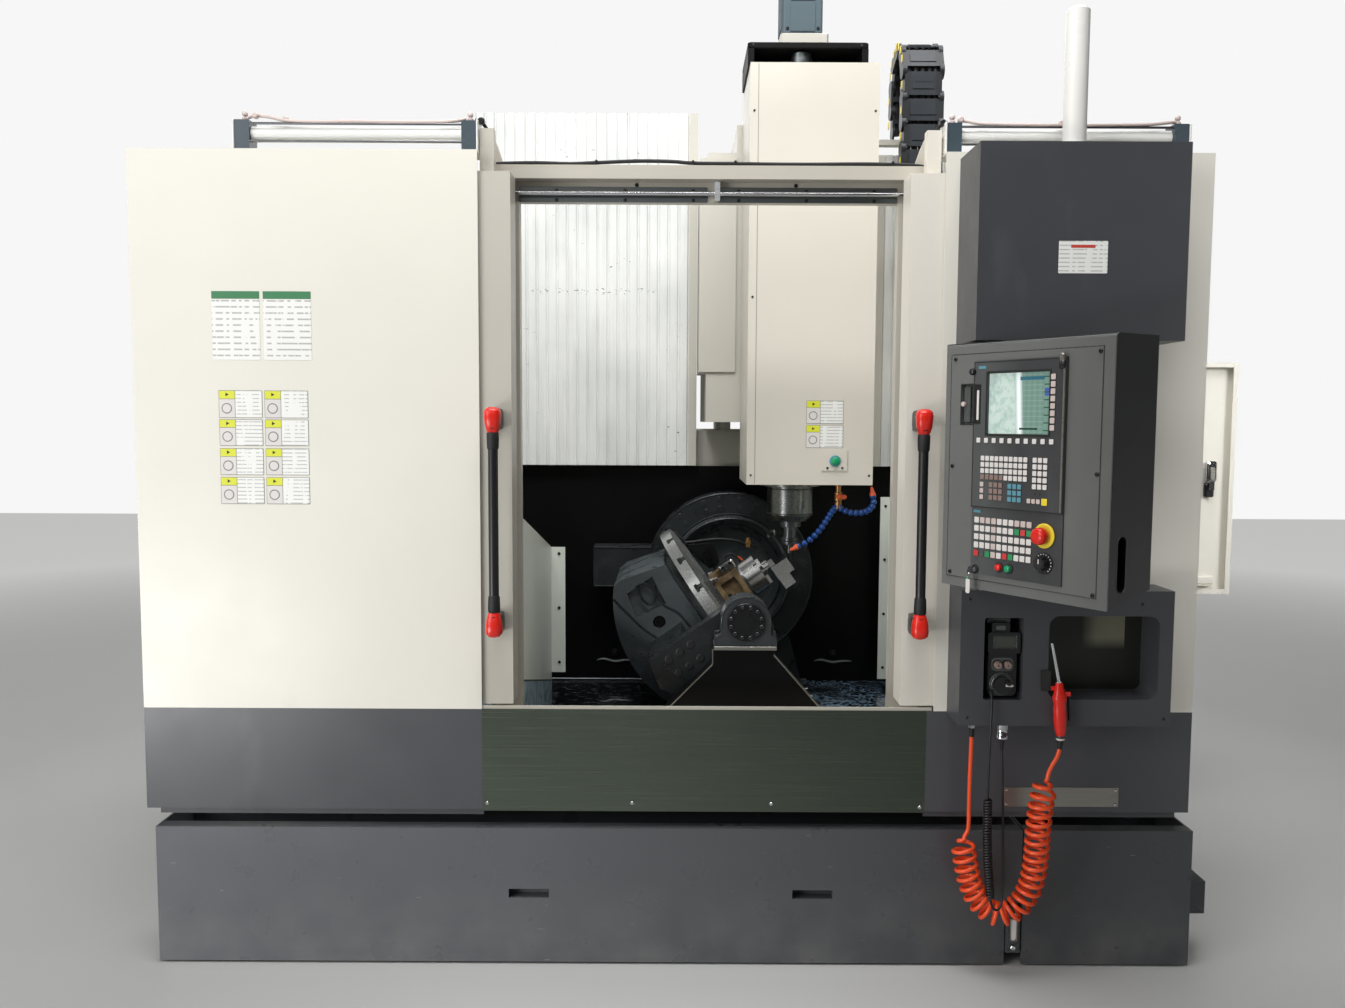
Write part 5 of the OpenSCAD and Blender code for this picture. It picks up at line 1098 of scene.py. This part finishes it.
for key, points in pedestalEdges.items():
    (x0, z0), (x1, z1) = points
    sweep("pedestalEdge" + key, np.linspace((x0, 204, z0), (x1, 204, z1), 10), 2.2, 6, "plate", slot="black_sheet")
studs("tableNuts", tableTop, [(-78, -78), (-78, 78), (78, -78), (78, 78)],
      [(22, 14), (24, 14), (24, 11), (35, 11), (36.5, 9.5), (36.5, 6), (46, 6), (47, 5)], 6, "steel")
tiles("fixtureJaw", cradleFace(880), (-106, -70.5, 0, 56), 0, 92, 0.08, "steel", "table_body")
studs("fixtureJawScrews", cradleFace(788), [(-96, 44), (-96, 12)], [(0, 6), (4, 6), (5, 5), (5, 3), (2, 2.8)], 12,
      "black", "table_body", "machined_steel")
studs("chuckBands", tableTop, (0, 0), [(120.5, 69.5), (128, 69.5), (130, 68.4)], 48, "darkSteel")
# flat black patches stand for the holes' insides, as painted shade
tiles("fixtureHoles", cradleFace(772), [(-8, 8, -30, -14), (34, 46, 4, 16), (-52, -42, 18, 28)], 0, 0.9, 0.5,
      "rubber", "table_body", "machined_steel", sides=4)
floorFace = level(0, 0, 530)
tiles("trayRim", floorFace, [(-519, -509, 905, 1322), (-508, 560, 1312, 1322)], 0, 9, 0.1, "darkSteel",
      slot="black_sheet")
for key, x in (("Left", -304), ("Right", 592)):  # streams of coolant dried along the outlet's lip
    run = np.linspace(0, 1, 24)
    sweep("outletLip" + key, np.stack([x + 156 * run, 1324 + 0 * run, 612 + 7 * np.sin(9 * run) * (1 - run)], -1),
          1.5 + 4 * np.sin(np.pi * run) ** 0.5, 8, "rail")
studs("outletStuds", front(1326), [(-228, 646), (667, 646)], [(0, 14), (8, 14), (9, 12), (9, 5), (24, 5), (25, 3)],
      16, "bearing", slot="black_sheet")
for i, (x, z) in enumerate(((425, 776), (440, 752), (424, 735), (398, 790))):
    sweep("pedestalFin%d" % i, np.linspace((369, 206, 762 - 9 * i), (x, 206, z), 6), 1.6, 6, "plate",
          slot="black_sheet")
print("work chamber dressed")

# head, coolant hoses and spindle

headFront = front(650, "head_body")
tiles("headSeam", headFront, (287, 289, 1383, 2794), 0, 0.5, 0.1, "cardEdge", slot="cream_paint")
screws("headScrews", headFront, [(274, 1412), (274, 2020), (274, 2640), (682, 1412), (682, 2640)], smallScrew,
       "darkSteel")
screws("clampPlateScrews", front(646, "head_body"), [(538, 1438), (589, 1438)], smallScrew)
studs("clampCollar", front(646), (564, 1462), [(0, 20), (1.2, 20), (2, 18.6), (2, 14.6)], 32, "keyTeal", "head_body",
      "stainless")
studs("clampDome", front(636), (564, 1462), [(-1, 13.2), (1, 12.6), (3, 9.5), (4, 4)], 28, "green",
      "clamp_button_body")
down = face((432, 850, 0), (1, 0, 0), (0, -1, 0), (0, 0, 1), "head_body")
studs("spindleBands", down, [(0, 0, 1352), (0, 0, 1262)], [(0, 82.4), (1.2, 83.4), (4, 83.4), (5.2, 82.4)], 56,
      "darkSteel", slot="bright_steel")
studs("holderTaper", down, (0, 0, 1150), [(4, 31), (6, 33), (12, 33), (14, 31), (16, 33), (22, 33), (24, 31)], 32,
      "darkSteel", "spindle_body")

linkLine = {"lower": [(592, 1302), (556, 1296), (544, 1196), (450, 1158)],
            "upper": [(586, 1302), (622, 1262), (732, 1266), (710, 1336)]}
beadSides = 14
bead = [(-9, 6.4), (-7, 9.4), (-2.5, 11.6), (2, 11.2), (5, 8.6), (8.6, 7.2)]
for key, count in (("lower", 13), ("upper", 11)):
    p = np.insert(np.array(linkLine[key], float), 1, 720, axis=1)
    t = np.linspace(0, 1, count)[:, None]
    line = (1 - t) ** 3 * p[0] + 3 * t * (1 - t) ** 2 * p[1] + 3 * t * t * (1 - t) * p[2] + t ** 3 * p[3]
    along, a, b = headings(line, (0, 1.0, 0))
    spin = fullTurn(beadSides)
    profile = np.array(bead)
    # each bead is its profile turned about the hose's direction: p + d * along + r * (cos t * a + sin t * b)
    across = np.cos(spin)[:, None] * a[:, None, None] + np.sin(spin)[:, None] * b[:, None, None]
    verts = line[:, None, None] + profile[:, :1, None] * along[:, None, None] + profile[:, 1:, None] * across
    beads = link(key + "HoseBeads", verts, closedFaces(len(bead), beadSides, count), True, "blue", "head_body")
    if key == "lower":
        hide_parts("coolant_hoses")
    tipFace = face(line[-1], a[-1], b[-1], along[-1], "head_body")
    studs(key + "Nozzle", tipFace, (0, 0), [(0, 8), (3, 11), (10, 10.6), (14, 8), (28, 5), (32, 4.2), (33, 3)], 16,
          "orange")
valveFace = level(588, 720, 1379, "head_body", -1)
studs("valveBody", valveFace, (0, 0), [(0, 14), (6, 14), (8, 9.5), (28, 9.5), (30, 13.4), (58, 13.4), (60, 10),
                                       (66, 12.6), (86, 12.2), (88, 8)], 16, "brass")
tiles("valveLever", front(712), (592, 616, 1326, 1342), 0, 7, 0.3, "orange", "head_body")
studs("valveCap", front(706), (588, 1335), [(-4, 9), (3, 9), (5, 7), (5, 3)], 16, "orange", "head_body")
print("head dressed")

# cabinet door: swing lock, tag, ledge and turned-in edges

doorLow, doorHigh = ((np.array(corner) - np.array(originShift)) * 1000 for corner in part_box("cabinet_door"))
lock = {"inset": 85, "case": (-20, 18, 1376, 1455), "grip": (-10, 8, 1384, 1432), "foot": (-20, 15, 1318, 1372),
        "tag": (-31, -12, 1372, 1428)}
lockX, doorBack = doorHigh[0] - lock["inset"], front(1036.6)


def lockRect(part):
    left, right, foot, top = lock[part]
    return lockX + left, lockX + right, foot, top


tiles("lockCase", front(1032), lockRect("case"), 0, 27, 0.3, "chrome", "cabinet_lock_body", "bright_steel", sides=4)
tiles("lockGrip", front(1005), lockRect("grip"), 0, 5, 0.3, "plate", "cabinet_lock_body", "bright_steel", sides=4)
tiles("lockFoot", doorBack, lockRect("foot"), 0, 20, 0.2, "black", "cabinet_door_body", sides=4)
tiles("lockTag", doorBack, lockRect("tag"), 0, 2, 0.1, "keyWhite", "cabinet_door_body")
tiles("doorLedge", doorBack, (doorLow[0] + 150, doorHigh[0] - 60, 984, 1018), 0, 21, 0.05, "cabinetDoor",
      "cabinet_door_body")
tiles("doorEdges", front(1014), [(doorLow[0] + 19, doorHigh[0] - 19, z, z + 15) for z in (952, 1807)], 0, 2, 0.05,
      "cabinetDoor", "cabinet_door_body")
print("cabinet door dressed")

# top of the machine: motor, energy chain and bellows

motor = {"x": 453.5, "half": 80, "front": 770, "back": 930, "bridge": (253.5, 663.5, 700, 1000), "foot": 2798,
         "top": 2881, "flange": 2934, "crown": 3149, "overhang": 3, "case": (4, 142), "plate": 20, "post": 22}
x0, x1, y0, y1 = motor["bridge"]
bridgeTop = level(0, 0, motor["top"] - motor["plate"], "head_body")
tiles("motorBridge", bridgeTop, motor["bridge"], 0, motor["plate"], 0.02, "motor", edge=0.15)
post = motor["post"]
bridgeFoot = level(0, 0, motor["foot"], "head_body")
tiles("motorBridgePosts", bridgeFoot, [(x0, x0 + post, y0, y1), (x1 - post, x1, y0, y1),
                                       (x0 + post + 1, x1 - post - 1, y0 + 110, y1 - 4)], 0, 62.8, 0.05, "motor",
      edge=0.1)
studs("shaftDome", bridgeFoot, (441, 752), [(0, 37), (44, 37), (46, 34), (56, 34), (59, 31), (61, 20)], 40, "rail",
      slot="bright_steel")
seat, low, over = motor["x"] - motor["half"], motor["front"], motor["overhang"]
left, right = (seat + side for side in motor["case"])
tiles("motorFlange", level(0, 0, motor["top"], "head_body"), (seat - over, seat + 2 * motor["half"] + over,
                                                              low - over, motor["back"] + over), 0,
      motor["flange"] - motor["top"], 0.04, "column", edge=0.05)
motorCase = tiles("motorCase", level(0, 0, motor["flange"], "head_body"), (left, right, low, motor["back"]), 0,
                  motor["crown"] - motor["flange"], 0.06, "motor", edge=0.04, sides=4)
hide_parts("head_motor")
tiles("motorRibs", face((left, 0, 0), (0, 1, 0), (0, 0, 1), (-1, 0, 0), "head_body"),
      [(793 + 22 * i, 805 + 22 * i, 2960, 3125) for i in range(6)], -1, 4, 0.2, "motor")
screws("motorFlangeScrews", front(low, "head_body"), [(seat + 20, 2950), (seat + 126, 2950)])
tiles("motorFrontPanel", front(low, "head_body"),
      [(seat + 30, seat + 116, 2940, 3040), (seat + 30, seat + 116, 3044, 3140)], 0, 2.5, 0.03, "motor")
screws("bridgeBolts", front(y0, "head_body"), [(272, 2871), (640, 2871)], smallScrew, "darkSteel")
bend = {"y": 960, "z": 2866, "r": 105, "dots": 117}
sideFace, lidFace = face((829, 0, 0), (0, 1, 0), (0, 0, 1), (-1, 0, 0), None), front(933, None)
dots = [(952, z) for z in (2545, 2635, 2725, 2815)] + \
       [(bend["y"] + bend["r"] - bend["dots"] * math.cos(math.radians(a)),
         bend["z"] + bend["dots"] * math.sin(math.radians(a))) for a in (22, 45, 67, 90, 112, 135, 157)] + \
       [(1182, z) for z in (2821, 2731)]
chainPieces = [tiles("chainSeparators", sideFace, [(y - 7, y + 7, z - 15, z + 15) for y, z in dots], -1, 3.2, 0.3,
                     "yellow", slot="black_plastic")]
lids = [(x, z) for z in (2590, 2680, 2770) for x in (848, 961)]
chainPieces.append(studs("chainLidPins", lidFace, lids, [(0, 3), (1.4, 2.8), (2, 2)], 10, "rail",
                         slot="machined_steel"))
chainPieces.append(tiles("chainLidLabels", lidFace, (872, 940, 2822, 2850), 0, 1.4, 0.12, "chain"))
turn = np.radians(np.linspace(0, 180, 13))[1:-1]
rise, fall = np.linspace(2556, bend["z"], 8), np.linspace(bend["z"], 2690, 6)
over = np.stack([bend["y"] + bend["r"] * (1 - np.cos(turn)), bend["z"] + bend["r"] * np.sin(turn)], -1)
loop = np.concatenate([np.stack([bend["y"] + 0 * rise, rise], -1), over,
                       np.stack([bend["y"] + 2 * bend["r"] + 0 * fall, fall], -1)])
for i, x in enumerate((856, 881, 906, 931, 953)):  # the cables that lie in the chain
    chainPieces.append(sweep("chainCable%d" % i, np.insert(loop, 0, x, axis=1), 12, 8, "rubber", None,
                             guide=(1, 0, 0)))


def bending(name, node):  # copy of a soft node's mesh, with the node hidden
    piece = newObject(name, nodes[node].data.copy())
    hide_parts(node)
    return piece


# on the machine the front leg of the chain moves with the head and the rear one stays on the column; here the links
# are copied and baked in place
chainPieces.append(bending("chainLinks", "energy_chain"))
for piece in chainPieces:
    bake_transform(piece)
for name, node, fixed, moving in (("leftPleats", "left_bellows", -778, 67),
                                  ("rightPleats", "right_bellows", 1300, 838)):
    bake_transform(bending(name, node))
print("motor and chain dressed")
